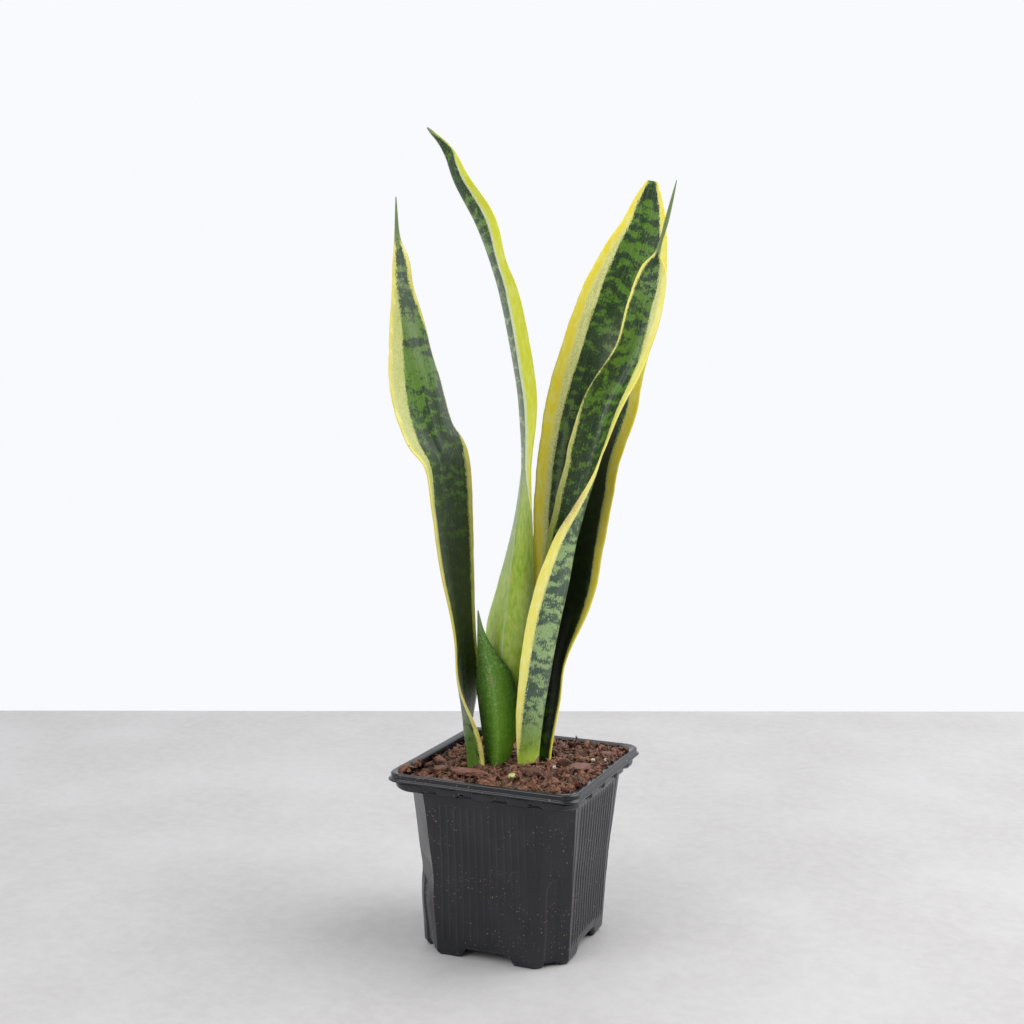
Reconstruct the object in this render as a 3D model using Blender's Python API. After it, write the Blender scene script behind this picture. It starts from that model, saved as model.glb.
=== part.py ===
"""A young variegated snake plant in a thin square nursery pot.

Frame: +Z up, metres. The pot's sides lie along X and Y, and its feet stand on Z = 0.
The origin is under the middle of the whole plant's box. The leaves fan out along a line
that is turned from the pot's front by FAN_TURN, so they are laid out in fan coordinates:
across (along the fan), deep (towards the back) and up.
"""

import math
import random

import bmesh
import bpy
import numpy as np
from mathutils import Vector, noise

MM = 0.001

# Where the pot's axis stands, and how far the leaf fan is turned from the pot's front.
POT_X = -4.1 * MM
POT_Y = -6.1 * MM
FAN_TURN = math.radians(23.0)

# The pot: half sides and corner cuts of its walls, and the heights of its features.
POT_HEIGHT = 96.0 * MM
RIM_HALF = 52.5 * MM
WALL = 0.8 * MM
FOOT_HALF = 40.4 * MM
SHOULDER_HALF = 46.8 * MM
SHOULDER_UP = 87.0 * MM
CORNER_CUT = 13.0 * MM
LIP_DEPTH = 4.2 * MM
BAND_HALF = 49.4 * MM
BAND_UP = 88.4 * MM
MOUTH_HALF = 48.2 * MM
CHANNEL_UP = 4.7 * MM
CHANNEL_HALF = 11.0 * MM
CHANNEL_SLOPE = 4.5 * MM
DRAIN_RADIUS = 4.0 * MM
DRAIN_REACH = 24.0 * MM

# The potting mix, and the gap that touching pieces keep.
GAP = 0.3 * MM
SOIL_FLOOR = 6.0 * MM
SOIL_EDGE_UP = 86.0 * MM
SOIL_LEVEL = 91.0 * MM
SOIL_TILT = 2.0 * MM
SOIL_HEAP = 3.0 * MM
SOIL_HEAP_REACH = 26.0 * MM
SOIL_LUMP = 1.1 * MM
SOIL_LUMP_SIZE = 9.0 * MM

# The creeping stem under the mix that all the leaves grow from.
RHIZOME_RADIUS = 7.0 * MM
RHIZOME_UP = 70.6 * MM
RHIZOME_PATH = [(-30, 3), (-21, 2), (-11, 1), (1, 2), (10, 6), (16, 15)]

# Leaf thickness either side of its middle layer: at the keel low down and high up, and
# at the margin.
KEEL_THICK_LOW = 1.7 * MM
KEEL_THICK_HIGH = 0.9 * MM
MARGIN_THICK = 0.45 * MM
LEAF_FOLD_ROUND = 0.35
SOCKET_TOP = 106.0 * MM

# Each leaf from its base to its tip. A station is (across, deep, up, half width) in
# millimetres, then the way the inner face looks (0 to the front, 90 to the right) and how
# far the left and right halves fold up towards it, in degrees.
LEAVES = {
    "leaf_left": [
        (-25.5, 1, 78, 9.5, 100, 48, 15),
        (-25.5, 1, 95, 11, 100, 50, 15),
        (-27.5, 0, 113, 13.5, 86, 48, 12),
        (-29.5, -1, 138, 14.5, 58, 40, 5),
        (-30.5, -1, 165, 12, 50, 38, 0),
        (-34, 0, 200, 15.5, 44, 36, -6),
        (-36.5, 1, 230, 16.5, 38, 40, -5),
        (-39.5, 1, 254, 17, 30, 42, -10),
        (-45, 1, 271, 18.5, 20, 30, -50),
        (-50.5, 1, 294, 18, 10, 30, -65),
        (-55, 2, 315, 13, 6, 30, -60),
        (-59.5, 3, 343, 5.8, 2, 20, -20),
        (-60.5, 4, 358, 4.3, 0, 20, 20),
        (-62.5, 5, 371, 1, 0, 10, 10),
        (-63, 5, 390, 0.5, 0, 0, 0),
    ],
    "leaf_tall": [
        (-10, 3, 78, 5.5, 180, 55, 55),
        (-10.5, 3, 95, 7.5, 178, 52, 52),
        (-10, 3.5, 118, 10.5, 172, 55, 55),
        (-8.5, 3.7, 142, 13, 160, 42, 42),
        (-7, 4, 163, 15.5, 149, 30, 28),
        (-4, 5, 186, 16, 128, 20, 18),
        (0, 7, 219, 15.5, 109, 14, 14),
        (3, 9, 250, 15.5, 98, 8, 8),
        (2, 10, 278, 17, 95, 30, 29),
        (-0.5, 10, 300, 17.5, 95, 36, 36),
        (-7.5, 10, 337, 17, 95, 36, 36),
        (-13, 10, 357, 14.5, 95, 32, 32),
        (-21, 9, 378, 14, 95, 62, 44),
        (-31.5, 8, 398, 9, 95, 55, 45),
        (-36.5, 7, 412, 6.2, 95, 60, 55),
        (-41, 6, 420, 3, 95, 40, 40),
        (-46.5, 5, 426, 0.5, 95, 0, 0),
    ],
    "leaf_broad": [
        (15, 13, 78, 9, -40, 48, 52),
        (15.5, 14, 97, 11, -40, 48, 56),
        (19.5, 18, 125, 14, -42, 48, 50),
        (21.5, 21, 147, 17.5, -40, 48, 50),
        (26.5, 25, 180, 20, -20, 38, 38),
        (29, 27, 204, 21.5, -14, 38, 38),
        (31, 29, 230, 23.5, -9, 37, 37),
        (34, 31, 257, 24.5, -5, 35, 35),
        (40, 33, 283, 26, -3, 28, 28),
        (46, 34.5, 309, 24.5, -1, 26, 26),
        (55.5, 36, 338, 23.5, 0, 24, 24),
        (63, 37, 362, 18.5, 0, 22, 22),
        (68, 37.5, 379, 12.5, 0, 18, 18),
        (70.5, 38, 393, 7.8, 0, 14, 14),
        (72.5, 38, 402, 2.8, 0, 10, 10),
    ],
    "leaf_twisted": [
        (9, -1, 78, 9.5, -100, 55, 60),
        (9.5, -1, 95, 12, -100, 58, 60),
        (12, -0.5, 118, 17, -101, 56, 56),
        (17, 1, 147, 21, -100, 52, 56),
        (21, 2.5, 167, 22.5, -99, 61, 56),
        (26, 4.5, 189, 23, -95, 63, 57),
        (30, 6.5, 210, 20, -86, 61, 58),
        (34, 8, 226, 17.5, -72, 60, 58),
        (39, 10, 248, 15, -46, 60, 58),
        (41.5, 11.5, 262, 15, -32, 60, 60),
        (48, 14, 286, 14.5, -18, 60, 58),
        (59.3, 17, 311, 11.5, 0, 55, 52),
        (65.5, 18, 335, 11.3, 10, 45, 40),
        (70.8, 18.5, 354, 7.8, 12, 35, 28),
        (74, 19, 365, 1.2, 14, 40, 40),
        (78.8, 19.5, 382, 0.7, 14, 0, 0),
        (83, 20, 400, 0.4, 14, 0, 0),
    ],
    "leaf_short": [
        (-10.5, -1.5, 78, 6.5, 180, 48, 55),
        (-10.5, -2, 97, 8.5, 182, 45, 55),
        (-10.5, -2.8, 117, 12.8, 184, 45, 62),
        (-12.8, -5, 138, 12, 186, 35, 60),
        (-16.8, -4, 153, 5.4, 190, 20, 60),
        (-19.5, -2, 165, 1.6, 190, 5, 20),
        (-21, -1, 175.5, 0.5, 190, 0, 0),
    ],
}
LEAF_RINGS = 3
LEAF_HALF_POINTS = 4

# Loose pieces on the mix: (across, deep, length, width, thickness, turn in degrees), in
# millimetres. Bark chips lie flat, perlite is round, twigs stand up from the mix.
BARK_CHIPS = [
    (33, -14, 13, 9, 1.8, 60),
    (-25, -17, 18, 7, 2.6, 8),
    (8, -23, 9, 6, 3, 40),
    (-41, -4, 9, 4, 2.4, 130),
    (49, 8, 9, 5, 2.6, 20),
    (-10, 34, 11, 6, 2.4, 75),
]
PERLITE = [
    (47, -2, 3.4, 3, 2.8, 0),
    (40, -2, 2.6, 2.4, 2.2, 30),
    (19, -14, 2.8, 2.4, 2.4, 70),
    (31, -32, 2.6, 2.2, 2.2, 10),
    (5, 32, 3, 2.6, 2.4, 45),
]
PELLET = (-3, -27, 6.5, 4, 3.6, 75)
TWIGS = [(31, 29, 9, 1.4, 1.4, 12), (45, 18, 8, 1.6, 1.6, -20)]
LOOSE_POINTS = 22

MATERIALS = {
    "black_plastic": ((0.022, 0.023, 0.025), 0.42),
    "potting_mix": ((0.075, 0.032, 0.018), 0.95),
    "green_leaf": ((0.055, 0.13, 0.03), 0.38),
    "pale_leaf": ((0.30, 0.42, 0.06), 0.4),
    "rhizome_skin": ((0.48, 0.27, 0.08), 0.6),
    "bark": ((0.11, 0.04, 0.022), 0.85),
    "perlite": ((0.75, 0.72, 0.62), 0.9),
    "pellet": ((0.42, 0.43, 0.14), 0.7),
}


def clear_scene():
    for thing in list(bpy.data.objects):
        bpy.data.objects.remove(thing)


def make_material(name):
    colour, roughness = MATERIALS[name]
    material = bpy.data.materials.new(name)
    material.use_nodes = True
    shader = material.node_tree.nodes["Principled BSDF"]
    shader.inputs["Base Color"].default_value = (*colour, 1.0)
    shader.inputs["Roughness"].default_value = roughness
    shader.inputs["Metallic"].default_value = 0.0
    return material


def add_object(name, mesh, material=None):
    thing = bpy.data.objects.new(name, mesh)
    bpy.context.collection.objects.link(thing)
    if material:
        mesh.materials.append(bpy.data.materials[material])
    return thing


def from_fan(across, deep):
    """The X and Y of a place given in fan coordinates, in metres."""
    c, s = math.cos(FAN_TURN), math.sin(FAN_TURN)
    return POT_X + across * c - deep * s, POT_Y + across * s + deep * c


def close_loft(name, rings):
    """A closed mesh through rings of equal count, with a flat face over each end."""
    count = len(rings[0])
    points = [tuple(p) for ring in rings for p in ring]
    faces = []
    for level in range(len(rings) - 1):
        for i in range(count):
            a = level * count + i
            b = level * count + (i + 1) % count
            faces.append((a, b, b + count, a + count))
    faces.append(tuple(reversed(range(count))))
    faces.append(tuple(range((len(rings) - 1) * count, len(rings) * count)))
    mesh = bpy.data.meshes.new(name)
    mesh.from_pydata(points, [], faces)
    return mesh


# The pot

def square_ring(half, cut, up, corner_round=0.0):
    """A square with cut corners, or round ones, as a ring of points about the pot's axis."""
    ring = []
    for quarter in range(4):
        turn = math.pi / 2 * quarter
        for step in range(4):
            part = step / 3
            flat = Vector((half - cut + cut * part, -half + cut * part))
            angle = math.pi / 2 * (part - 1)
            arc = Vector((half - cut, -half + cut))
            arc += cut * Vector((math.cos(angle), math.sin(angle)))
            p = flat.lerp(arc, corner_round)
            x = p.x * math.cos(turn) - p.y * math.sin(turn)
            y = p.x * math.sin(turn) + p.y * math.cos(turn)
            ring.append((POT_X + x, POT_Y + y, up))
    return ring


def pot_outside():
    """The pot's outer shape as a solid: tapered body, stacking band and rolled lip."""
    lip_low = POT_HEIGHT - LIP_DEPTH
    rim_cut = 9.0 * MM
    profile = [
        (FOOT_HALF, CORNER_CUT, 0.0, 0.0),
        (SHOULDER_HALF, CORNER_CUT, SHOULDER_UP, 0.0),
        (BAND_HALF, rim_cut, BAND_UP, 0.6),
        (BAND_HALF, rim_cut, lip_low + 0.9 * MM, 0.6),
        (RIM_HALF - 1.4 * MM, rim_cut, lip_low + 0.2 * MM, 1.0),
        (RIM_HALF - 0.2 * MM, rim_cut, lip_low, 1.0),
        (RIM_HALF, rim_cut, lip_low + 0.5 * MM, 1.0),
        (RIM_HALF - 0.3 * MM, rim_cut, lip_low + 1.2 * MM, 1.0),
        (RIM_HALF - 0.5 * MM, rim_cut, POT_HEIGHT - 0.7 * MM, 1.0),
        (RIM_HALF - 1.2 * MM, rim_cut, POT_HEIGHT, 1.0),
    ]
    rings = [square_ring(half, cut, up, rnd) for half, cut, up, rnd in profile]
    return close_loft("pot_outside", rings)


def pot_inside():
    """The space inside the pot's walls, as a solid that is cut out."""
    mouth_cut = CORNER_CUT - WALL
    profile = [
        (FOOT_HALF - WALL, WALL, 0.0),
        (SHOULDER_HALF - WALL, SHOULDER_UP, 0.0),
        (MOUTH_HALF, BAND_UP, 0.6),
        (MOUTH_HALF, POT_HEIGHT + 1.0 * MM, 0.6),
    ]
    rings = [square_ring(half, mouth_cut, up, rnd) for half, up, rnd in profile]
    return close_loft("pot_inside", rings)


def channel(name, grow, along_y):
    """A sloping-sided channel across the pot's underside, which leaves four corner feet."""
    low = -1.0 * MM
    top = CHANNEL_UP + grow
    wide = CHANNEL_HALF + CHANNEL_SLOPE + grow * 1.6
    narrow = CHANNEL_HALF + grow * 0.6
    reach = RIM_HALF
    section = [(-wide, low), (wide, low), (wide, 0.0), (narrow, top), (-narrow, top), (-wide, 0.0)]
    rings = []
    for end in (-reach, reach):
        if along_y:
            rings.append([(POT_X - s, POT_Y + end, z) for s, z in section])
        else:
            rings.append([(POT_X + end, POT_Y + s, z) for s, z in section])
    return close_loft(name, rings)


def drain_hole(name, x, y):
    ring_count = 16
    rings = []
    for up in (-1.0 * MM, SOIL_FLOOR):
        turn = [2 * math.pi * i / ring_count for i in range(ring_count)]
        rings.append([(POT_X + x + DRAIN_RADIUS * math.cos(a),
                       POT_Y + y + DRAIN_RADIUS * math.sin(a), up) for a in turn])
    return close_loft(name, rings)


def cut_with(thing, cutter):
    """Take one object's shape out of another with an exact Boolean."""
    cutter.hide_render = True
    cutter.display_type = "WIRE"
    cut = thing.modifiers.new("cut_" + cutter.name, "BOOLEAN")
    cut.operation = "DIFFERENCE"
    cut.solver = "EXACT"
    cut.object = cutter


def build_pot():
    pot = add_object("nursery_pot", pot_outside(), "black_plastic")
    hollow = add_object("pot_hollow", pot_inside())
    for along_y in (False, True):
        side = "y" if along_y else "x"
        cut_with(pot, add_object("channel_" + side, channel("channel", 0.0, along_y)))
        cut_with(hollow, add_object("ridge_" + side, channel("ridge", WALL, along_y)))
    cut_with(pot, hollow)
    places = [(0, 0), (DRAIN_REACH, 0), (-DRAIN_REACH, 0), (0, DRAIN_REACH), (0, -DRAIN_REACH)]
    for i, (x, y) in enumerate(places):
        cut_with(pot, add_object("drain_%d" % i, drain_hole("drain", x, y)))
    return pot


# The leaves

def smooth_between(rows, place):
    """A Catmull-Rom curve through rows of numbers, read at a fractional row."""
    last = len(rows) - 1
    i = min(int(place), last - 1)
    f = place - i
    before, a = rows[max(i - 1, 0)], rows[i]
    b, after = rows[i + 1], rows[min(i + 2, last)]
    return a + 0.5 * f * (b - before + f * (2 * before - 5 * a + 4 * b - after
                                            + f * (3 * (a - b) + after - before)))


def half_section(width, fold, points):
    """Points from keel to margin across one half, as (out, raised, slope angle)."""
    section = [(0.0, 0.0, 0.0)]
    out = raised = 0.0
    for i in range(points):
        share = (i + 0.5) / points
        bend = fold * share * (1 + LEAF_FOLD_ROUND) / (share + LEAF_FOLD_ROUND)
        out += width / points * math.cos(bend)
        raised += width / points * math.sin(bend)
        end = (i + 1) / points
        slope = fold * end * (1 + LEAF_FOLD_ROUND) / (end + LEAF_FOLD_ROUND)
        section.append((out, raised, slope))
    return section


def keel_thickness(up):
    low, high = 80 * MM, 220 * MM
    share = min(max((up - low) / (high - low), 0.0), 1.0)
    return KEEL_THICK_LOW + (KEEL_THICK_HIGH - KEEL_THICK_LOW) * share


def leaf_ring(row, tangent, grow):
    """One closed ring round a leaf, inner face from left to right, then the outer face back."""
    across, deep, up, width, facing, fold_left, fold_right = row
    face = np.array([math.sin(facing), -math.cos(facing), 0.0])
    side = np.cross(tangent, face)
    side /= np.linalg.norm(side)
    face = np.cross(side, tangent)
    middle = np.array([across, deep, up])
    width += grow
    left = half_section(width, fold_left, LEAF_HALF_POINTS)
    right = half_section(width, fold_right, LEAF_HALF_POINTS)
    halves = [(-o, r, -a) for o, r, a in reversed(left[1:])] + right
    inner, outer = [], []
    keel = min(keel_thickness(up), 0.6 * width + 0.1 * MM)
    for i, (out, raised, slope) in enumerate(halves):
        share = abs(i - LEAF_HALF_POINTS) / LEAF_HALF_POINTS
        thick = keel + (min(MARGIN_THICK, keel) - keel) * share ** 0.8 + grow
        layer = middle + side * out + face * raised
        normal = face * math.cos(slope) - side * math.sin(slope)
        inner.append(layer + normal * thick)
        outer.append(layer - normal * thick)
    return inner + outer[::-1]


def leaf_rows(stations):
    rows = np.array(stations, float)
    rows[:, :4] *= MM
    rows[:, 4:] = np.radians(rows[:, 4:])
    return rows


def leaf_rings(stations, rings_between, grow=0.0, highest=None):
    """All rings of a leaf, from base to tip, or only as far up as highest."""
    rows = leaf_rows(stations)
    count = (len(rows) - 1) * rings_between
    places = [i / rings_between for i in range(count + 1)]
    curve = [smooth_between(rows, p) for p in places]
    if highest:
        curve = [row for row in curve if row[2] < highest]
    rings = []
    for i, row in enumerate(curve):
        low, high = curve[max(i - 1, 0)], curve[min(i + 1, len(curve) - 1)]
        tangent = high[:3] - low[:3]
        tangent /= np.linalg.norm(tangent)
        row = row.copy()
        if i == 0:
            row[2] -= grow
        rings.append(leaf_ring(row, tangent, grow))
    return rings


def leaf_mesh(name, rings):
    """A closed mesh through leaf rings, whose ends are closed by strips across the blade."""
    count = len(rings[0])
    points = []
    for ring in rings:
        for p in ring:
            x, y = from_fan(p[0], p[1])
            points.append((x, y, p[2]))
    faces = []
    for level in range(len(rings) - 1):
        for i in range(count):
            a = level * count + i
            b = level * count + (i + 1) % count
            faces.append((a, b, b + count, a + count))
    top = (len(rings) - 1) * count
    for i in range(count // 2 - 1):
        j = count - 1 - i
        faces.append((i + 1, i, j, j - 1))
        faces.append((top + i, top + i + 1, top + j - 1, top + j))
    mesh = bpy.data.meshes.new(name)
    mesh.from_pydata(points, [], faces)
    return mesh


def build_leaf(name):
    finish = "pale_leaf" if name == "leaf_tall" else "green_leaf"
    mesh = leaf_mesh(name, leaf_rings(LEAVES[name], LEAF_RINGS))
    leaf = add_object(name, mesh, finish)
    mesh.shade_smooth()
    mesh.set_sharp_from_angle(angle=math.radians(50))
    return leaf


# The creeping stem

def rhizome_rings(grow):
    """Round rings along the stem's path, closing in at both ends."""
    path = np.array(RHIZOME_PATH, float) * MM
    sides, steps = 12, 2
    count = (len(path) - 1) * steps
    rings = []
    for i in range(count + 1):
        here = smooth_between(path, i / steps)
        along = smooth_between(path, min(i / steps + 0.1, len(path) - 1.0))
        along = along - smooth_between(path, max(i / steps - 0.1, 0.0))
        along /= np.linalg.norm(along)
        end = min(i, count - i)
        radius = RHIZOME_RADIUS * (0.55, 0.9, 1.0)[min(end, 2)] + grow
        if end == 0:
            here = here + along * grow * (-1 if i == 0 else 1)
        ring = []
        for k in range(sides):
            angle = 2 * math.pi * k / sides
            out = radius * math.cos(angle)
            x, y = from_fan(here[0] - along[1] * out, here[1] + along[0] * out)
            ring.append((x, y, RHIZOME_UP + radius * math.sin(angle)))
        rings.append(ring)
    return rings


def build_rhizome():
    mesh = close_loft("rhizome", rhizome_rings(0.0))
    return add_object("rhizome", mesh, "rhizome_skin")


# The potting mix

def soil_height(x, y):
    """The mix's surface: level, a little higher to the right, heaped round the leaves."""
    c, s = math.cos(FAN_TURN), math.sin(FAN_TURN)
    across = (x - POT_X) * c + (y - POT_Y) * s
    reach = math.hypot(x - POT_X, y - POT_Y)
    heap = SOIL_HEAP * math.exp(-(reach / SOIL_HEAP_REACH) ** 2)
    lump = noise.noise(Vector((x, y, 0.0)) / SOIL_LUMP_SIZE + Vector((3.1, 7.7, 0.4)))
    return SOIL_LEVEL + SOIL_TILT * across / FOOT_HALF + heap + SOIL_LUMP * lump


def soil_mesh():
    """The mix as a solid: it fills the pot and its top is a lumpy surface."""
    slant = (SHOULDER_HALF - FOOT_HALF) / SHOULDER_UP
    inset = WALL + GAP
    bottom = FOOT_HALF + slant * SOIL_FLOOR - inset
    edge = FOOT_HALF + slant * SOIL_EDGE_UP - inset
    cut = CORNER_CUT - WALL
    outline = square_ring(edge, cut, SOIL_EDGE_UP)
    rings = [square_ring(bottom, cut, SOIL_FLOOR), outline]
    for share in (1.0, 0.86, 0.7, 0.54, 0.38, 0.22, 0.08):
        ring = []
        for px, py, _ in outline:
            x = POT_X + (px - POT_X) * share
            y = POT_Y + (py - POT_Y) * share
            ring.append((x, y, soil_height(x, y)))
        rings.append(ring)
    return close_loft("potting_mix", rings)


def build_soil():
    """The mix, with a socket round each leaf's base and round the creeping stem."""
    soil = add_object("potting_mix", soil_mesh(), "potting_mix")
    stem = close_loft("stem_socket", rhizome_rings(GAP))
    cut_with(soil, add_object("stem_socket", stem))
    for name, stations in LEAVES.items():
        rings = leaf_rings(stations, LEAF_RINGS, GAP, SOCKET_TOP)
        socket = add_object(name + "_socket", leaf_mesh(name + "_socket", rings))
        cut_with(soil, socket)
    return soil


# Loose pieces on top

def loose_mesh(name, size, seed, flat):
    """An irregular convex lump of the given length, width and thickness."""
    rng = random.Random(seed)
    shape = bmesh.new()
    for _ in range(LOOSE_POINTS):
        spot = Vector([rng.gauss(0, 1) for _ in range(3)])
        power = 1.0 if not flat else 1.6
        spot.normalize()
        spot = Vector([math.copysign(abs(v) ** (1 / power), v) for v in spot])
        shape.verts.new((spot.x * size[0] / 2, spot.y * size[1] / 2, spot.z * size[2] / 2))
    hull = bmesh.ops.convex_hull(shape, input=shape.verts)
    inside = {v for v in hull["geom_interior"] if isinstance(v, bmesh.types.BMVert)}
    bmesh.ops.delete(shape, geom=list(inside), context="VERTS")
    bmesh.ops.triangulate(shape, faces=shape.faces)
    bmesh.ops.recalc_face_normals(shape, faces=shape.faces)
    mesh = bpy.data.meshes.new(name)
    shape.to_mesh(mesh)
    shape.free()
    return mesh


def lay_on_soil(piece, across, deep, size):
    """Rest a piece on the highest mix beneath it."""
    x, y = from_fan(across * MM, deep * MM)
    reach = max(size[0], size[1]) / 2
    spots = [(0, 0)] + [(math.cos(a), math.sin(a)) for a in np.arange(0, 6.28, 0.52)]
    highest = max(soil_height(x + reach * i, y + reach * j) for i, j in spots)
    lowest = min(v.co.z for v in piece.data.vertices)
    piece.location = (x, y, highest + GAP + 0.3 * MM - lowest)


def build_loose(name, values, seed, material, flat=False):
    across, deep, *size, turn = values
    size = [s * MM for s in size]
    piece = add_object(name, loose_mesh(name, size, seed, flat), material)
    piece.rotation_euler.z = math.radians(turn)
    lay_on_soil(piece, across, deep, size)
    return piece


def build_twig(name, values, seed):
    """A splinter of bark that stands up from the mix."""
    across, deep, length, width, thick, lean = values
    size = [width * MM, thick * MM, length * MM]
    twig = add_object(name, loose_mesh(name, size, seed, False), "bark")
    twig.data.transform(twig.matrix_basis.Rotation(math.radians(lean), 4, "Y"))
    lay_on_soil(twig, across, deep, size)
    return twig


def main():
    clear_scene()
    for name in MATERIALS:
        make_material(name)
    build_pot()
    build_rhizome()
    for name in LEAVES:
        build_leaf(name)
    build_soil()
    for i, values in enumerate(BARK_CHIPS):
        build_loose("bark_chip_%d" % (i + 1), values, 20 + i, "bark", flat=True)
    for i, values in enumerate(PERLITE):
        build_loose("perlite_%d" % (i + 1), values, 40 + i, "perlite")
    build_loose("fertiliser_pellet", PELLET, 60, "pellet")
    for i, values in enumerate(TWIGS):
        build_twig("twig_%d" % (i + 1), values, 70 + i)


if __name__ == "__main__":
    main()
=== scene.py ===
# %% [markdown]
# # A potted snake plant
#
# A young snake plant stands in the thin square pot it was sold in. Five stiff leaves fan
# out from the middle of a rough bark mix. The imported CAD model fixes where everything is
# and how large it is. Here each plain solid is covered by a finer piece of the same shape,
# with its own finish.

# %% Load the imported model
import math
import random

import bmesh
import bpy
import numpy as np
from mathutils import Euler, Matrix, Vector, noise


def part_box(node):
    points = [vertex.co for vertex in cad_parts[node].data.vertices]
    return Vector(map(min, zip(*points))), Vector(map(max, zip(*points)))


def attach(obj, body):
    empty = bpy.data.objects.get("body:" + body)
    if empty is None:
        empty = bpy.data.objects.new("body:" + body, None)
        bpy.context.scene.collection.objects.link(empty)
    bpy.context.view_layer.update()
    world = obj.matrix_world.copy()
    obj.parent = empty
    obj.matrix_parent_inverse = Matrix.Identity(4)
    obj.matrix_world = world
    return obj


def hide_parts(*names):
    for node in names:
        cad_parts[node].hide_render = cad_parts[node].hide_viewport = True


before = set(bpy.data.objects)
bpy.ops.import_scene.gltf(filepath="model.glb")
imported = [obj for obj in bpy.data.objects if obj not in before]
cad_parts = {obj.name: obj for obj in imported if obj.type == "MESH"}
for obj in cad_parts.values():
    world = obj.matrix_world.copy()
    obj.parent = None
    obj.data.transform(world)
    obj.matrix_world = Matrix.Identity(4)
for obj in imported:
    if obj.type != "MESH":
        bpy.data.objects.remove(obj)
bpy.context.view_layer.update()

MM = 0.001
print("CAD nodes:", len(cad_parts))

# %% [markdown]
# ## Where things are
#
# The pot's box gives its axis, its rim and its height, so no place is typed in twice. The
# leaves spread along a line that is turned a little from the pot's front. It is easier to
# think about a leaf as so far *across* the fan, so far *deep* towards the back, and so far
# up, so one helper turns such a place into X and Y.

# %% Measures read from the model
pot_low, pot_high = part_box("nursery_pot")
POT_X = (pot_low.x + pot_high.x) / 2
POT_Y = (pot_low.y + pot_high.y) / 2
RIM_HALF = (pot_high.x - pot_low.x) / 2
POT_HEIGHT = pot_high.z
FAN_TURN = math.radians(23.0)


def from_fan(across, deep):
    """The X and Y of a place given in fan coordinates, in metres."""
    c, s = math.cos(FAN_TURN), math.sin(FAN_TURN)
    return POT_X + across * c - deep * s, POT_Y + across * s + deep * c


print("rim half side %.1f mm, pot height %.1f mm" % (RIM_HALF / MM, POT_HEIGHT / MM))

# %% [markdown]
# ## Helpers for smooth and uneven things
#
# A leaf is described by a few sections, and a Catmull-Rom curve runs smoothly through
# them. Nothing that grows is perfectly even, so `wander` gives a gentle random wave for
# edges, and `rough` gives lumps for a surface.

# %% Curves, waves and lumps
def smooth_rows(rows, count):
    """Rows of numbers along a Catmull-Rom curve through the given rows."""
    rows = np.asarray(rows, float)
    last = len(rows) - 1
    place = np.linspace(0, last, count)
    i = np.minimum(place.astype(int), last - 1)
    f = (place - i)[:, None]
    before, a = rows[np.maximum(i - 1, 0)], rows[i]
    b, after = rows[i + 1], rows[np.minimum(i + 2, last)]
    bend = f * (2 * before - 5 * a + 4 * b - after + f * (3 * (a - b) + after - before))
    return a + 0.5 * f * (b - before + bend)


def wander(t, seed, pitch):
    """A smooth random wave along t, between about -1 and 1."""
    dice = random.Random(seed)
    wave = 0.0
    for octave in range(4):
        shrink = 1.83 ** octave
        phase = dice.uniform(0, 2 * math.pi)
        wave = wave + np.sin(2 * math.pi * t * shrink / pitch + phase) / shrink
    return wave / 2.0


def rough(points, size, seed=0.0, octaves=3):
    """Lumps at each point, between about -1 and 1, with lumps of the given size."""
    shift = Vector((seed, seed * 1.7, seed * 0.3))
    return np.array([noise.fractal(Vector(p) / size + shift, 1.0, 2.0, octaves)
                     for p in points])


def step(value, low, high):
    """0 below low, 1 above high, and a smooth ramp between."""
    t = np.clip((value - low) / (high - low), 0.0, 1.0)
    return t * t * (3 - 2 * t)


# %% Helpers for meshes
def tube_faces(levels, count):
    """Four-sided faces between rings of points, where each ring closes on itself."""
    faces = []
    for level in range(levels - 1):
        for i in range(count):
            a, b = level * count + i, level * count + (i + 1) % count
            faces.append((a, b, b + count, a + count))
    return faces


def new_object(name, data):
    """An object in the scene that holds a mesh, a lamp or a camera."""
    thing = bpy.data.objects.new(name, data)
    bpy.context.collection.objects.link(thing)
    return thing


def add_piece(name, points, faces, slot, *nodes):
    """A smooth-shaded mesh that rides on the model and stands for CAD nodes."""
    mesh = bpy.data.meshes.new(name)
    mesh.from_pydata([tuple(p) for p in points], [], faces)
    mesh.shade_smooth()
    piece = new_object(name, mesh)
    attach(piece, "root")
    if nodes:
        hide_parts(*nodes)
    return piece


def keep_values(piece, name, values):
    """Store one number for each point, for the finishes to read."""
    layer = piece.data.attributes.new(name, "FLOAT", "POINT")
    layer.data.foreach_set("value", np.asarray(values, np.float32))


# %% [markdown]
# ## The leaves' shape
#
# A snake plant leaf is a thick sword, folded gently along its keel and often twisted. A
# station gives the keel's place (across, deep, up) and the half width in millimetres,
# then the way the inner face looks (0 to the front, 90 to the right) and how far the left
# and right halves fold up, in degrees. These are the same stations as the CAD leaves
# have, so the fine leaves lie on them. A lofted grid was chosen over sculpting, because
# the grid also knows, at every point, how far it is from the leaf's edge, and the yellow
# margin needs just that.

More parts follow.
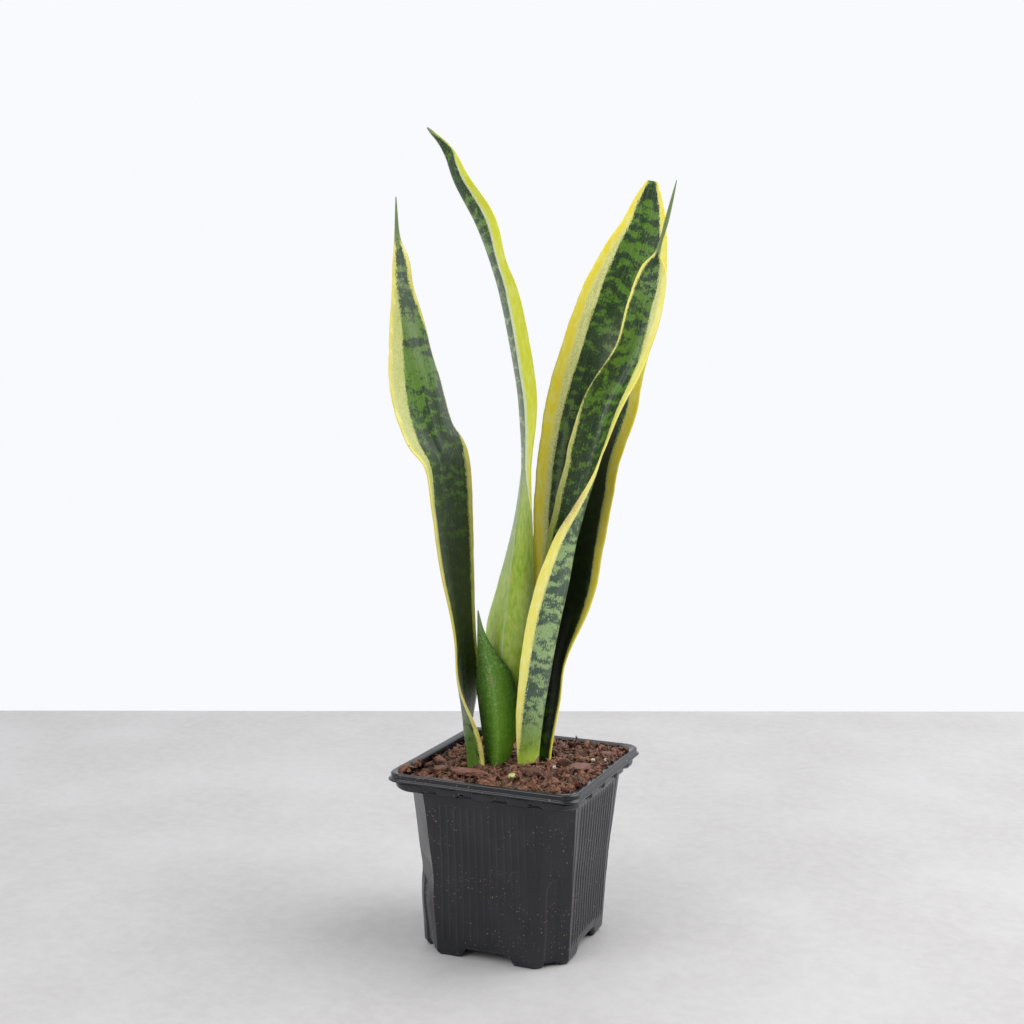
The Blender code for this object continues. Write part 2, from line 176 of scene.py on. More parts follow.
# %% Leaf stations
LEAVES = {
    "leaf_left": [
        (-25.5, 1, 78, 9.5, 100, 48, 15),
        (-25.5, 1, 95, 11, 100, 50, 15),
        (-27.5, 0, 113, 13.5, 86, 48, 12),
        (-29.5, -1, 138, 14.5, 58, 40, 5),
        (-30.5, -1, 165, 12, 50, 38, 0),
        (-34.4, 0, 200, 16, 44, 36, -6),
        (-37.2, 1, 230, 17.2, 38, 40, -5),
        (-39.5, 1, 254, 17, 30, 42, -10),
        (-45, 1, 271, 18.5, 20, 30, -50),
        (-50.5, 1, 294, 18, 10, 30, -65),
        (-55, 2, 315, 13, 6, 30, -60),
        (-59.5, 3, 343, 5.8, 2, 20, -20),
        (-60.5, 4, 358, 4.3, 0, 20, 20),
        (-62.5, 5, 371, 1.2, 0, 10, 10),
        (-63, 5, 391, 0.12, 0, 0, 0),
    ],
    "leaf_tall": [
        (-10, 3, 78, 5.5, 180, 55, 55),
        (-10.5, 3, 95, 7.5, 178, 52, 52),
        (-10, 3.5, 118, 10.5, 172, 55, 55),
        (-8.5, 3.7, 142, 13, 160, 42, 42),
        (-7, 4, 163, 15.5, 149, 30, 28),
        (-4, 5, 186, 16, 128, 20, 18),
        (0, 7, 219, 15.5, 109, 14, 14),
        (3, 9, 250, 15.5, 98, 8, 8),
        (2, 10, 278, 17, 95, 30, 29),
        (-0.5, 10, 300, 17.5, 95, 36, 36),
        (-7.5, 10, 337, 17, 95, 36, 36),
        (-13, 10, 357, 14.5, 95, 32, 32),
        (-21, 9, 378, 12.6, 95, 62, 44),
        (-31.5, 8, 398, 10, 95, 55, 45),
        (-36.5, 7, 412, 6.2, 95, 60, 55),
        (-41, 6, 420, 3, 95, 40, 40),
        (-46.5, 5, 426, 0.12, 95, 0, 0),
    ],
    "leaf_broad": [
        (15, 13, 78, 9, -40, 48, 52),
        (15.5, 14, 97, 11, -40, 48, 56),
        (19.5, 18, 125, 14, -42, 48, 50),
        (21.5, 21, 147, 17.5, -40, 48, 50),
        (26.5, 25, 180, 20, -20, 38, 38),
        (29, 27, 204, 21.5, -14, 38, 38),
        (31, 29, 230, 23.5, -9, 37, 37),
        (34, 31, 257, 24.5, -5, 35, 35),
        (40, 33, 283, 26, -3, 28, 28),
        (46, 34.5, 309, 24.5, -1, 26, 26),
        (55.5, 36, 338, 23.5, 0, 24, 24),
        (63, 37, 362, 18.5, 0, 22, 22),
        (68, 37.5, 379, 12.5, 0, 18, 18),
        (70.5, 38, 393, 7.8, 0, 14, 14),
        (72.5, 38, 403.5, 2.8, 0, 10, 10),
    ],
    "leaf_twisted": [
        (9, -1, 78, 9.5, -100, 55, 60),
        (9.5, -1, 95, 12, -100, 58, 60),
        (12, -0.5, 118, 17, -101, 56, 56),
        (17, 1, 147, 21, -100, 52, 56),
        (21, 2.5, 167, 22.5, -99, 61, 56),
        (26, 4.5, 189, 23, -95, 63, 57),
        (30, 6.5, 210, 20, -86, 61, 58),
        (34, 8, 226, 17.5, -72, 60, 58),
        (39, 10, 248, 15, -46, 60, 58),
        (41.5, 11.5, 262, 15, -32, 60, 60),
        (48, 14, 286, 14.5, -18, 60, 58),
        (59.3, 17, 311, 11.5, 0, 55, 52),
        (65.5, 18, 335, 11.3, 10, 45, 40),
        (70.8, 18.5, 354, 7.8, 12, 35, 28),
        (74, 19, 365, 1.2, 14, 40, 40),
        (78.8, 19.5, 382, 0.9, 14, 0, 0),
        (83.5, 20, 401.5, 0.1, 14, 0, 0),
    ],
    "leaf_short": [
        (-10.5, -1.5, 78, 6.5, 180, 48, 55),
        (-10.5, -2, 97, 8.5, 182, 45, 55),
        (-10.5, -2.8, 117, 12.8, 184, 45, 62),
        (-12.8, -5, 138, 12, 186, 35, 60),
        (-16.8, -4, 153, 5.4, 190, 20, 60),
        (-19.5, -2, 165, 1.6, 190, 5, 20),
        (-21, -1, 176, 0.12, 190, 0, 0),
    ],
}
print("leaves:", ", ".join(LEAVES))

# %% [markdown]
# ### From stations to a skin
#
# Each leaf's middle layer is worked out first, as a grid of rings by points across. Its
# two faces lie either side of it: thick at the keel, thin at the margins, with a rounded
# edge between. Low ridges run along the blade, as the real skin has, and the margin
# wanders by a few tenths of a millimetre.

# %% The middle layer
LEAF_RINGS = 340
HALF_POINTS = 20
FOLD_ROUND = 0.35
LEAST_HALF = 0.08
EDGE_WANDER = 0.01
WANDER_PITCH = 23.0


def unit(vectors):
    """The same directions with a length of one."""
    return vectors / np.linalg.norm(vectors, axis=-1, keepdims=True)


def half_layer(width, fold):
    """Points from keel to margin over one half: (out, raised, slope) for each ring."""
    shares = (np.arange(HALF_POINTS) + 0.5) / HALF_POINTS
    bend = fold[:, None] * shares * (1 + FOLD_ROUND) / (shares + FOLD_ROUND)
    pace = width[:, None] / HALF_POINTS
    zero = np.zeros((len(width), 1))
    out = np.hstack([zero, np.cumsum(np.cos(bend) * pace, axis=1)])
    raised = np.hstack([zero, np.cumsum(np.sin(bend) * pace, axis=1)])
    return out, raised, np.hstack([zero, bend])


def middle_layer(name):
    """The leaf's middle surface and what the finishes need to know at each of its points."""
    rows = smooth_rows(LEAVES[name], LEAF_RINGS)
    place = rows[:, :3] * MM
    up = rows[:, 2]
    width = np.maximum(rows[:, 3], LEAST_HALF) * MM
    facing, fold_left, fold_right = np.radians(rows[:, 4:]).T
    tangent = unit(np.gradient(place, axis=0))
    face = np.stack([np.sin(facing), -np.cos(facing), 0 * facing], axis=1)
    side = unit(np.cross(tangent, face))
    face = np.cross(side, tangent)
    halves = []
    for sign, fold in ((-1, fold_left), (1, fold_right)):
        waver = wander(up, name + str(sign), WANDER_PITCH) * step(width / MM, 2.0, 6.0)
        out, raised, slope = half_layer(width * (1 + EDGE_WANDER * waver), fold)
        halves.append((sign * out, raised, sign * slope))
    out, raised, slope = [np.hstack([left[:, :0:-1], right])
                          for left, right in zip(*halves)]
    out, raised, slope = out[..., None], raised[..., None], slope[..., None]
    side, face = side[:, None], face[:, None]
    layer = place[:, None] + side * out + face * raised
    normal = face * np.cos(slope) - side * np.sin(slope)
    share = np.linspace(-1, 1, 2 * HALF_POINTS + 1)
    return up, width, share, layer, normal


# %% The two faces and the rounded edge
KEEL_THICK_LOW = 1.7 * MM
KEEL_THICK_HIGH = 0.9 * MM
MARGIN_THICK = 0.4 * MM
KEEL_RIDGE_HALF = 1.1 * MM
RIDGE_HEIGHT = 0.035 * MM
EDGE_ROUND = 0.8


def leaf_thickness(up, width, share):
    """Half the blade's thickness at each point: thick low at the keel, thin at the margins."""
    low_share = 1 - step(up, 80.0, 220.0)
    keel = KEEL_THICK_HIGH + (KEEL_THICK_LOW - KEEL_THICK_HIGH) * low_share
    keel = np.minimum(keel, 0.6 * width + 0.1 * MM)[:, None]
    margin = np.minimum(MARGIN_THICK, keel)
    return keel + (margin - keel) * np.abs(share)[None] ** 0.8


def skin_ridges(up, width, share, seed):
    """Low ridges along the blade, a little uneven, for relief that catches the light."""
    across = share[None] * width[:, None] / MM
    ridges = np.sin(across * 2.4 + 0.5 * wander(up, seed, 60.0)[:, None])
    ridges += 0.7 * np.sin(across * 5.1 + seed + wander(up, seed + 5, 40.0)[:, None])
    fade = step(width[:, None] / MM * (1 - np.abs(share)[None]), 0.3, 2.5)
    return ridges * fade * RIDGE_HEIGHT


def leaf_points(name, keel_ridge):
    """All points of the leaf, ring by ring, and the values that belong to them."""
    up, width, share, layer, normal = middle_layer(name)
    thick = leaf_thickness(up, width, share)[..., None]
    seed = len(name)
    across = share[None] * width[:, None]
    ridge = keel_ridge * MM * np.exp(-(across / KEEL_RIDGE_HALF) ** 2)[..., None]
    inner = layer + normal * (thick + skin_ridges(up, width, share, seed)[..., None])
    outer = layer - normal * (thick + ridge + skin_ridges(up, width, share, seed + 3)[..., None])
    out_left = layer[:, :1] + unit(layer[:, :1] - layer[:, 1:2]) * thick[:, :1] * EDGE_ROUND
    out_right = (layer[:, -1:]
                 + unit(layer[:, -1:] - layer[:, -2:-1]) * thick[:, -1:] * EDGE_ROUND)
    rings = np.concatenate([inner, out_right, outer[:, ::-1], out_left], axis=1)
    columns = np.concatenate([share, [1.0], share[::-1], [-1.0]])
    is_inner = np.concatenate([share * 0 + 1, [0.5], share * 0, [0.5]])
    return up, width, rings, columns, is_inner


# %% [markdown]
# ### A leaf as a mesh
#
# The rings are joined into one closed skin. Its UV map is laid out as two long strips side by
# side, the inner face and the outer face, so that nothing overlaps when the finish is baked.

# %% A leaf's UV map
def strip_corners(count):
    """U at the start and end of each column of faces round a leaf ring."""
    half = count // 2
    start = []
    for island in (0.01, 0.51):
        start += list(np.linspace(island + 0.01, island + 0.46, half - 1)) + [island + 0.47]
    end = start[1:] + [0.995]
    end[half - 1] = 0.49
    return np.array(start), np.array(end)


def lay_out_strips(leaf, levels, count, grid_faces):
    """Two long strips for the leaf's faces, and a small circle over each for its ends."""
    start, end = strip_corners(count)
    rise = np.linspace(0.0, 0.97, levels)
    uv = np.zeros((len(leaf.data.loops), 2), np.float32)
    low, high = np.repeat(rise[:-1], count), np.repeat(rise[1:], count)
    left, right = np.tile(start, levels - 1), np.tile(end, levels - 1)
    corners = np.stack([left, low, right, low, right, high, left, high], axis=1)
    uv[:grid_faces * 4] = corners.reshape(-1, 2)
    turn = np.linspace(0, 2 * math.pi, count, endpoint=False)
    circle = 0.009 * np.stack([np.cos(turn), np.sin(turn)], axis=1)
    uv[grid_faces * 4:grid_faces * 4 + count] = circle[::-1] + (0.02, 0.987)
    uv[grid_faces * 4 + count:] = circle + (0.52, 0.987)
    leaf.data.uv_layers.new(name="OFBake").data.foreach_set("uv", uv.ravel())


# %% Loft one leaf
def leaf_piece(name, slot, keel_ridge=0.0):
    """The leaf's mesh, with where each point is on the blade kept for the finish."""
    up, width, rings, columns, is_inner = leaf_points(name, keel_ridge)
    levels, count = rings.shape[:2]
    x, y = from_fan(rings[..., 0], rings[..., 1])
    points = np.stack([x, y, rings[..., 2]], axis=-1).reshape(-1, 3)
    faces = tube_faces(levels, count)
    grid_faces = len(faces)
    top = (levels - 1) * count
    faces.append(tuple(reversed(range(count))))
    faces.append(tuple(range(top, top + count)))
    leaf = add_piece(name + "_fine", points, faces, slot, name)
    lay_out_strips(leaf, levels, count, grid_faces)
    across = columns[None] * width[:, None] / MM
    keep_values(leaf, "across", across.ravel())
    keep_values(leaf, "along", np.repeat(up, count))
    keep_values(leaf, "inner", np.tile(is_inner, levels))
    return leaf, up, width, columns


# %% [markdown]
# ### Markings that follow the leaf
#
# On each side of the blade comes first a yellow margin, then a pale mottled zone, then the green
# middle. Their widths change from base to tip. A table gives, for one side, (height, yellow
# width, pale width) in millimetres, and each point keeps how deep it lies inside each zone. A
# width below zero keeps the zone off that side. Tones are soft spots of one quality, such as a
# painted sheen, painted shade or a brighter band, placed by height and by how far across the
# blade they are.

# %% Margin widths
MARGINS = {
    "leaf_left": {
        -1: [(78, 1.4, 0.5), (113, 1.8, 0.8), (165, 2.3, 1), (230, 2.2, 2), (254, 1.8, 4.5),
             (271, 1.7, 6.5), (300, 1.6, 7.8), (330, 1.5, 4.6), (345, 1.4, 1.2), (358, 1, 0.6),
             (368, 0.2, 0.1), (391, 0, 0)],
        1: [(78, 1.2, 0.5), (165, 1.6, 0.8), (230, 2.4, 1.2), (256, 2.2, 1.5), (264, 0.3, 0.2),
            (318, 0.3, 0.2), (330, 1.4, 0.6), (358, 1.2, 0.6), (368, 0.3, 0.2), (391, 0, 0)],
    },
    "leaf_tall": {
        -1: [(78, -1.5, -1.5), (222, -1.5, -1), (240, 2, 2), (250, 6, 2.4), (300, 9.4, 2.4),
             (337, 8, 2), (357, 5.6, 1.6), (378, 4, 1), (398, 3, 0.8), (408, 2, 0.5),
             (413, 0.2, 0.1), (426, 0, 0)],
        1: [(78, -1, -0.5), (240, 0, 0.4), (300, 1.4, 1.6), (378, 1.4, 1), (408, 1.4, 0.6),
            (413, 0.2, 0.1), (426, 0, 0)],
    },
    "leaf_broad": {
        -1: [(78, 1.5, 0.5), (147, 3, 2), (204, 5, 3.4), (257, 6.4, 3.2), (283, 7, 4),
             (309, 6, 6), (338, 4.6, 6), (362, 4, 3.4), (379, 3.4, 1.2), (393, 2, 0.6),
             (403, 0.6, 0.4)],
        1: [(78, 1.6, 0.5), (120, 3, 0.8), (204, 4.6, 1), (257, 5.2, 1.2), (309, 4.6, 1.4),
            (362, 3.6, 1.2), (393, 2, 0.6), (403, 0.6, 0.4)],
    },
    "leaf_twisted": {
        -1: [(78, 0.2, 0.4), (226, -0.7, 4.2), (262, -0.9, 3.2), (290, -0.5, 0), (320, 0.2, 0.2),
             (345, 1, 0.2), (354, 1.3, 0.4), (364, 0.3, 0.2), (401, 0, 0)],
        1: [(78, -1.5, -1), (94, -1.2, 0), (106, 1.4, 0.6), (118, 2.6, 0.8), (147, 4.4, 0.8),
            (189, 5.4, 0.8), (226, 5, 0.8), (262, 4.4, 0.8), (311, 3.6, 1.6),
            (335, 2.8, 3.4), (354, 2.2, 2), (364, 0.3, 0.2), (401, 0, 0)],
    },
    "leaf_short": {
        -1: [(78, -2, -2), (176, -2, -2)],
        1: [(78, -2, -2), (176, -2, -2)],
    },
}

print("sides with margins:", sum(len(sides) for sides in MARGINS.values()))

# %% Tones
# (quality, height, reach, share across, reach, strength), where a share of -1 is the
# left margin and 1 the right one.
# Two of the qualities are light rather than colour: the sheen is a painted reflection of the
# bright room, and the shade is painted where the blade lies in shadow.
TONES = {
    "leaf_left": [
        ("painted_sheen", 348, 22, 0.0, 0.9, 1.0), ("painted_sheen", 318, 16, 0.1, 0.25, 0.6),
        ("light", 323, 4, 0.0, 1.4, 1.3), ("light", 303, 6, -0.1, 1.0, 1.2),
        ("light", 284, 12, -0.3, 0.5, 0.4), ("painted_shade", 255, 16, 0.3, 0.6, 0.35),
        ("painted_shade", 205, 42, 0.1, 1.3, 0.9), ("painted_shade", 148, 36, 0.2, 1.3, 0.95),
        ("painted_shade", 185, 65, 1.0, 0.25, 1.0), ("light", 98, 22, -0.5, 1.2, 0.75),
        ("painted_sheen", 134, 18, -0.6, 0.6, 0.9),
    ],
    "leaf_tall": [
        ("fresh", 170, 52, 0.0, 3.0, 1.0), ("fresh", 110, 60, 0.0, 3.0, 1.0),
        ("fresh", 225, 26, -0.6, 0.55, 1.0), ("painted_sheen", 300, 62, 0.2, 0.6, 1.0),
        ("painted_sheen", 248, 34, 0.4, 0.6, 0.9), ("painted_sheen", 345, 26, 0.5, 0.35, 0.9),
        ("light", 372, 14, 0.0, 0.8, 0.5), ("painted_shade", 186, 36, -0.95, 0.35, 0.75),
    ],
    "leaf_broad": [
        ("light", 384, 8, 0.1, 0.7, 0.5), ("light", 366, 9, 0.1, 0.7, 0.7),
        ("light", 346, 8, 0.2, 0.7, 0.5), ("light", 326, 6, 0.0, 0.7, 0.35),
        ("painted_sheen", 296, 22, 0.3, 0.3, 1.0), ("painted_sheen", 318, 10, 0.0, 0.3, 0.4),
        ("light", 235, 44, -0.42, 0.07, 1.2), ("painted_sheen", 235, 44, -0.42, 0.09, 0.7),
        ("painted_shade", 250, 30, -0.15, 0.2, 0.7), ("painted_shade", 222, 46, 0.15, 0.7, 1.0),
        ("painted_shade", 160, 55, 0.2, 0.6, 1.3), ("painted_shade", 260, 40, 0.45, 0.3, 1.0),
        ("light", 96, 12, 0.4, 1.2, 0.5),
    ],
    "leaf_twisted": [
        ("light", 336, 9, -0.1, 0.8, 0.55), ("light", 316, 8, 0.0, 0.8, 0.6),
        ("light", 292, 12, -0.3, 0.6, 0.35), ("painted_sheen", 350, 9, 0.2, 0.6, 0.7),
        ("painted_shade", 362, 5, 0.0, 1.0, 0.5), ("painted_sheen", 190, 45, 0.4, 0.8, 1.0),
        ("painted_sheen", 140, 38, 0.4, 0.9, 1.0), ("light", 160, 16, 0.4, 0.9, 0.55),
        ("light", 112, 12, 0.3, 0.8, 0.8), ("fresh", 82, 17, 0.2, 3.0, 2.6),
        ("light", 205, 9, 0.4, 0.9, 0.5),
        ("scar", 224, 9, 1.0, 0.12, 1.0), ("scar", 232, 7, 0.9, 0.1, 0.7),
    ],
    "leaf_short": [
        ("fresh", 96, 26, -0.5, 0.7, 0.8), ("fresh", 118, 26, -0.3, 0.5, 0.6),
        ("painted_shade", 140, 26, -1.0, 0.25, 0.6), ("painted_shade", 150, 14, 0.6, 0.5, 0.3),
        ("scar", 140, 2.5, 0.1, 0.12, 0.4), ("scar", 128, 2.5, 0.75, 0.1, 0.6),
    ],
}
QUALITIES = ("painted_sheen", "light", "painted_shade", "fresh", "scar")
print("tones:", sum(len(spots) for spots in TONES.values()))


# %% Keep the markings on the leaf
def mark_leaf(leaf, name, up, width, columns):
    """Keep each point's depth inside the yellow and pale zones, and its tones."""
    yellow = np.zeros((len(up), len(columns)))
    pale = np.zeros_like(yellow)
    rim = (1 - np.abs(columns))[None] * width[:, None] / MM
    for sign, table in MARGINS[name].items():
        heights, yellow_wide, pale_wide = np.array(table, float).T
        yellow_here = np.interp(up, heights, yellow_wide)[:, None]
        pale_here = np.interp(up, heights, pale_wide)[:, None]
        mine = (columns[None] * sign > 0) | ((columns[None] == 0) & (sign > 0))
        yellow = np.where(mine, yellow_here - rim, yellow)
        pale = np.where(mine, yellow_here + pale_here - rim, pale)
    keep_values(leaf, "yellow_depth", yellow.ravel())
    keep_values(leaf, "pale_depth", pale.ravel())
    for quality in QUALITIES:
        total = np.zeros_like(yellow)
        for kind, height, reach, place, spread, strength in TONES[name]:
            if kind == quality:
                fall = ((up[:, None] - height) / reach) ** 2
                fall = fall + ((columns[None] - place) / spread) ** 2
                total = total + strength * np.exp(-fall)
        keep_values(leaf, quality, np.minimum(total, 1.0).ravel())
    needle = 1 - step(width / MM, 0.9, 2.4)
    keep_values(leaf, "needle", np.repeat(needle, len(columns)))


# %% Build the five leaves
KEEL_RIDGES = {"leaf_tall": 0.45, "leaf_short": 0.2}
leaves = {}
for name in LEAVES:
    leaf_slot = "pale_leaf" if name == "leaf_tall" else "green_leaf"
    leaf, up, width, columns = leaf_piece(name, leaf_slot, KEEL_RIDGES.get(name, 0.0))
    mark_leaf(leaf, name, up, width, columns)
    leaves[name] = leaf
    print(leaf.name, len(leaf.data.vertices), "points")

# %% [markdown]
# ## A small kit for finishes
#
# A finish is a graph of nodes. These helpers add a node, join sockets and set values in
# one line each, so a finish reads from top to bottom. A node group made with `new_group`
# has named inputs and outputs, and can be placed in any finish with its own values.

# %% Node helpers
def new_group(name, inputs, outputs):
    """An empty node group. Inputs and outputs are (name, kind, value) or (name, kind)."""
    group = bpy.data.node_groups.new(name, "ShaderNodeTree")
    kinds = {"value": "NodeSocketFloat", "colour": "NodeSocketColor",
             "place": "NodeSocketVector"}
    for label, kind, *start in inputs:
        socket = group.interface.new_socket(label, in_out="INPUT", socket_type=kinds[kind])
        if start:
            socket.default_value = start[0]
    for label, kind in outputs:
        group.interface.new_socket(label, in_out="OUTPUT", socket_type=kinds[kind])
    return group, group.nodes.new("NodeGroupInput"), group.nodes.new("NodeGroupOutput")


def feed(tree, socket, value):
    """Join a socket to another one, or set its value."""
    if isinstance(value, bpy.types.NodeSocket):
        tree.links.new(value, socket)
    else:
        socket.default_value = value


def maths(tree, operation, *values, clamp=False):
    """One sum. Each value is a number or another socket."""
    node = tree.nodes.new("ShaderNodeMath")
    node.operation = operation
    node.use_clamp = clamp
    for socket, value in zip(node.inputs, values):
        feed(tree, socket, value)
    return node.outputs[0]


def times(tree, a, b):
    """a times b."""
    return maths(tree, "MULTIPLY", a, b)


def times_plus(tree, a, b, c, clamp=False):
    """a times b, plus c."""
    return maths(tree, "MULTIPLY_ADD", a, b, c, clamp=clamp)


def ramp(tree, value, low, high, to_low=0.0, to_high=1.0):
    """A smooth ramp of a value from one range to another."""
    node = tree.nodes.new("ShaderNodeMapRange")
    node.interpolation_type = "SMOOTHSTEP"
    for socket, given in zip(node.inputs, (value, low, high, to_low, to_high)):
        feed(tree, socket, given)
    return node.outputs[0]


def blend(tree, share, a, b):
    """Colour a where the share is 0, colour b where it is 1."""
    node = tree.nodes.new("ShaderNodeMix")
    node.data_type = "RGBA"
    feed(tree, node.inputs[0], share)
    for socket, colour in ((node.inputs[6], a), (node.inputs[7], b)):
        feed(tree, socket, colour if isinstance(colour, bpy.types.NodeSocket) else (*colour, 1))
    return node.outputs[2]


def grain(tree, place, scale, detail=2.0, roughness=0.5):
    """Soft noise between 0 and 1."""
    node = tree.nodes.new("ShaderNodeTexNoise")
    feed(tree, node.inputs["Vector"], place)
    feed(tree, node.inputs["Scale"], scale)
    feed(tree, node.inputs["Detail"], detail)
    feed(tree, node.inputs["Roughness"], roughness)
    return node.outputs["Fac"]


def spot_field(tree, place, scale):
    """Cells round scattered points: how far the nearest one is, and its own colour."""
    node = tree.nodes.new("ShaderNodeTexVoronoi")
    feed(tree, node.inputs["Vector"], place)
    feed(tree, node.inputs["Scale"], scale)
    return node


def stretched(tree, place, scale, turn=0.0):
    """A place stretched along each axis, after a turn about Z, for drawn-out noise."""
    node = tree.nodes.new("ShaderNodeMapping")
    feed(tree, node.inputs["Vector"], place)
    node.inputs["Rotation"].default_value = (0, 0, turn)
    node.inputs["Scale"].default_value = scale
    return node.outputs[0]


def object_place(tree):
    """Each point's place in the piece's own coordinates, in metres."""
    return tree.nodes.new("ShaderNodeTexCoord").outputs["Object"]


def place_of(tree, x, y, z):
    """A place put together from three values."""
    node = tree.nodes.new("ShaderNodeCombineXYZ")
    for socket, value in zip(node.inputs, (x, y, z)):
        feed(tree, socket, value)
    return node.outputs[0]


def kept(tree, name):
    """A value that the points keep."""
    node = tree.nodes.new("ShaderNodeAttribute")
    node.attribute_name = name
    return node.outputs["Fac"]


def use_group(tree, group, **values):
    """Place a group. A value's name is the input's, with _ for each space."""
    node = tree.nodes.new("ShaderNodeGroup")
    node.node_tree = group
    for label, value in values.items():
        socket = node.inputs[label.replace("_", " ")]
        feed(tree, socket, value)
    return node.outputs


def new_finish(name, **values):
    """A material with a Principled shader, whose own sockets hold the constants."""
    material = bpy.data.materials.new(name)
    material.use_nodes = True
    shader = material.node_tree.nodes["Principled BSDF"]
    for label, value in values.items():
        shader.inputs[label.replace("_", " ")].default_value = value
    return material, material.node_tree, shader


def relief(tree, shader, height, distance, strength=1.0):
    """A bump as deep as the given distance, in metres."""
    bump = tree.nodes.new("ShaderNodeBump")
    bump.inputs["Distance"].default_value = distance
    bump.inputs["Strength"].default_value = strength
    tree.links.new(height, bump.inputs["Height"])
    tree.links.new(bump.outputs["Normal"], shader.inputs["Normal"])


# %% [markdown]
# ## Effects shared by the finishes
#
# Two effects come back on several surfaces: small specks lie scattered about, and fine
# scuffs catch the light. Each is built once as a group.

# %% Scattered specks
group, given, result = new_group(
    "Scattered specks",
    [("Place", "place"), ("Scale", "value", 400.0), ("Size", "value", 0.2),
     ("Share", "value", 0.2)],
    [("Mask", "value"), ("Tint", "value")])
field = spot_field(group, given.outputs["Place"], given.outputs["Scale"])
chance = group.nodes.new("ShaderNodeSeparateColor")
feed(group, chance.inputs[0], field.outputs["Color"])
here = maths(group, "LESS_THAN", chance.outputs[0], given.outputs["Share"])
size = times(group, given.outputs["Size"], times_plus(group, chance.outputs[1], 1.2, 0.4))
dot = maths(group, "LESS_THAN", field.outputs["Distance"], size)
feed(group, result.inputs["Mask"], times(group, here, dot))
feed(group, result.inputs["Tint"], chance.outputs[2])
SPECKS = group

# %% Fine scuffs
SCUFF_TURN = 0.75
SCUFF_SCALE = (1.6, 0.16, 1.0)
group, given, result = new_group(
    "Fine scuffs",
    [("Place", "place"), ("Amount", "value", 0.3)],
    [("Mask", "value")])
where = grain(group, given.outputs["Place"], 0.045)
turned = stretched(group, given.outputs["Place"], SCUFF_SCALE, SCUFF_TURN)
line = ramp(group, grain(group, turned, 1.0, 4.0, 0.65), 0.66, 0.74)
patch = ramp(group, where, maths(group, "SUBTRACT", 0.75, given.outputs["Amount"]), 0.82)
feed(group, result.inputs["Mask"], times(group, line, patch))
SCUFFS = group
print("shared effects:", SPECKS.name, "/", SCUFFS.name)

# %% [markdown]
# ## The leaf's skin
#
# The green of a snake plant comes in jagged cross bands, light on dark. A wave along the
# blade gives the bands their pitch. Broad noise bends them, and fine noise, drawn out
# along the blade, tears their edges. All of it is measured in millimetres across the
# blade and up it, so the bands lie across the blade however the leaf twists.

# %% Cross bands
BAND_RATE = 0.72
BAND_BEND = 26.0
group, given, result = new_group(
    "Cross bands",
    [("Across", "value"), ("Along", "value"), ("Seed", "value", 0.0),
     ("Amount", "value", 0.0)],
    [("Mask", "value"), ("Mottle", "value")])
across, along, seed = [given.outputs[n] for n in ("Across", "Along", "Seed")]


def leaf_noise(wide, long, detail, roughness):
    """Noise on the blade: how many grains fit in a millimetre each way."""
    place = place_of(group, times(group, across, wide), times(group, along, long), seed)
    return grain(group, place, 1.0, detail, roughness)


def centred(value):
    """A noise value moved down, so that it lies about evenly round 0."""
    return maths(group, "SUBTRACT", value, 0.5)


bent = times_plus(group, leaf_noise(0.09, 0.055, 2.0, 0.5), BAND_BEND, along)
wave = maths(group, "SINE", times(group, bent, BAND_RATE))
level = times(group, wave, 0.16)
level = times_plus(group, centred(leaf_noise(0.16, 0.3, 3.0, 0.55)), 1.3, level)
level = times_plus(group, centred(leaf_noise(1.3, 0.75, 5.0, 0.75)), 1.7, level)
level = times_plus(group, given.outputs["Amount"], 0.5, level)
feed(group, result.inputs["Mask"], ramp(group, level, 0.05, 0.25))
feed(group, result.inputs["Mottle"], leaf_noise(1.7, 1.1, 4.0, 0.7))
CROSS_BANDS = group
print("a band about every %.1f mm" % (2 * math.pi / BAND_RATE))

# %% [markdown]
# ### Colours of one leaf
#
# The colours go on in layers, as glazes would: dark green, light bands, a painted sheen that
# stands for the bright room's reflection, painted shade deep in the fold, the fresh yellow green
# of young tissue, then the pale zone and the yellow margin, and last a painted glint along the
# keel, a thin dry edge, brown specks and pale scuffs.

# %% What the leaf's skin is given
group, given, result = new_group(
    "Snake leaf skin",
    [("Seed", "value", 0.0),
     ("Dark green", "colour", (0.012, 0.038, 0.012, 1)),
     ("Light green", "colour", (0.115, 0.25, 0.018, 1)),
     ("Silver dark", "colour", (0.05, 0.085, 0.055, 1)),
     ("Silver light", "colour", (0.25, 0.34, 0.15, 1)),
     ("Fresh green", "colour", (0.28, 0.44, 0.03, 1)),
     ("Fresh pale", "colour", (0.42, 0.56, 0.1, 1)),
     ("Margin", "colour", (0.95, 0.84, 0.08, 1)),
     ("Margin pale", "colour", (0.96, 0.93, 0.36, 1)),
     ("Pale zone", "colour", (0.8, 0.8, 0.3, 1)),
     ("Bands", "value", 0.0), ("Ragged", "value", 1.0), ("Flecks", "value", 0.3),
     ("Keel line", "value", 0.0)],
    [("Color", "colour"), ("Roughness", "value"), ("Height", "value")])
LEAF_SKIN = group
look = given.outputs
across, along, inner = [kept(group, n) for n in ("across", "along", "inner")]
painted_sheen, light, painted_shade, fresh, scar = [kept(group, n) for n in QUALITIES]
seed = times_plus(group, inner, 3.1, look["Seed"])
bands = use_group(group, CROSS_BANDS, Across=across, Along=along, Seed=seed,
                  Amount=maths(group, "ADD", look["Bands"], light))
lines = leaf_noise(1.1, 0.028, 3.0, 0.65)
streaks = leaf_noise(3.0, 0.12, 2.0, 0.65)
mottle_fine = leaf_noise(2.0, 1.1, 3.0, 0.65)
mottle_wide = leaf_noise(0.5, 0.16, 3.0, 0.65)
print("the leaf's skin takes", len(look) - 1, "inputs")

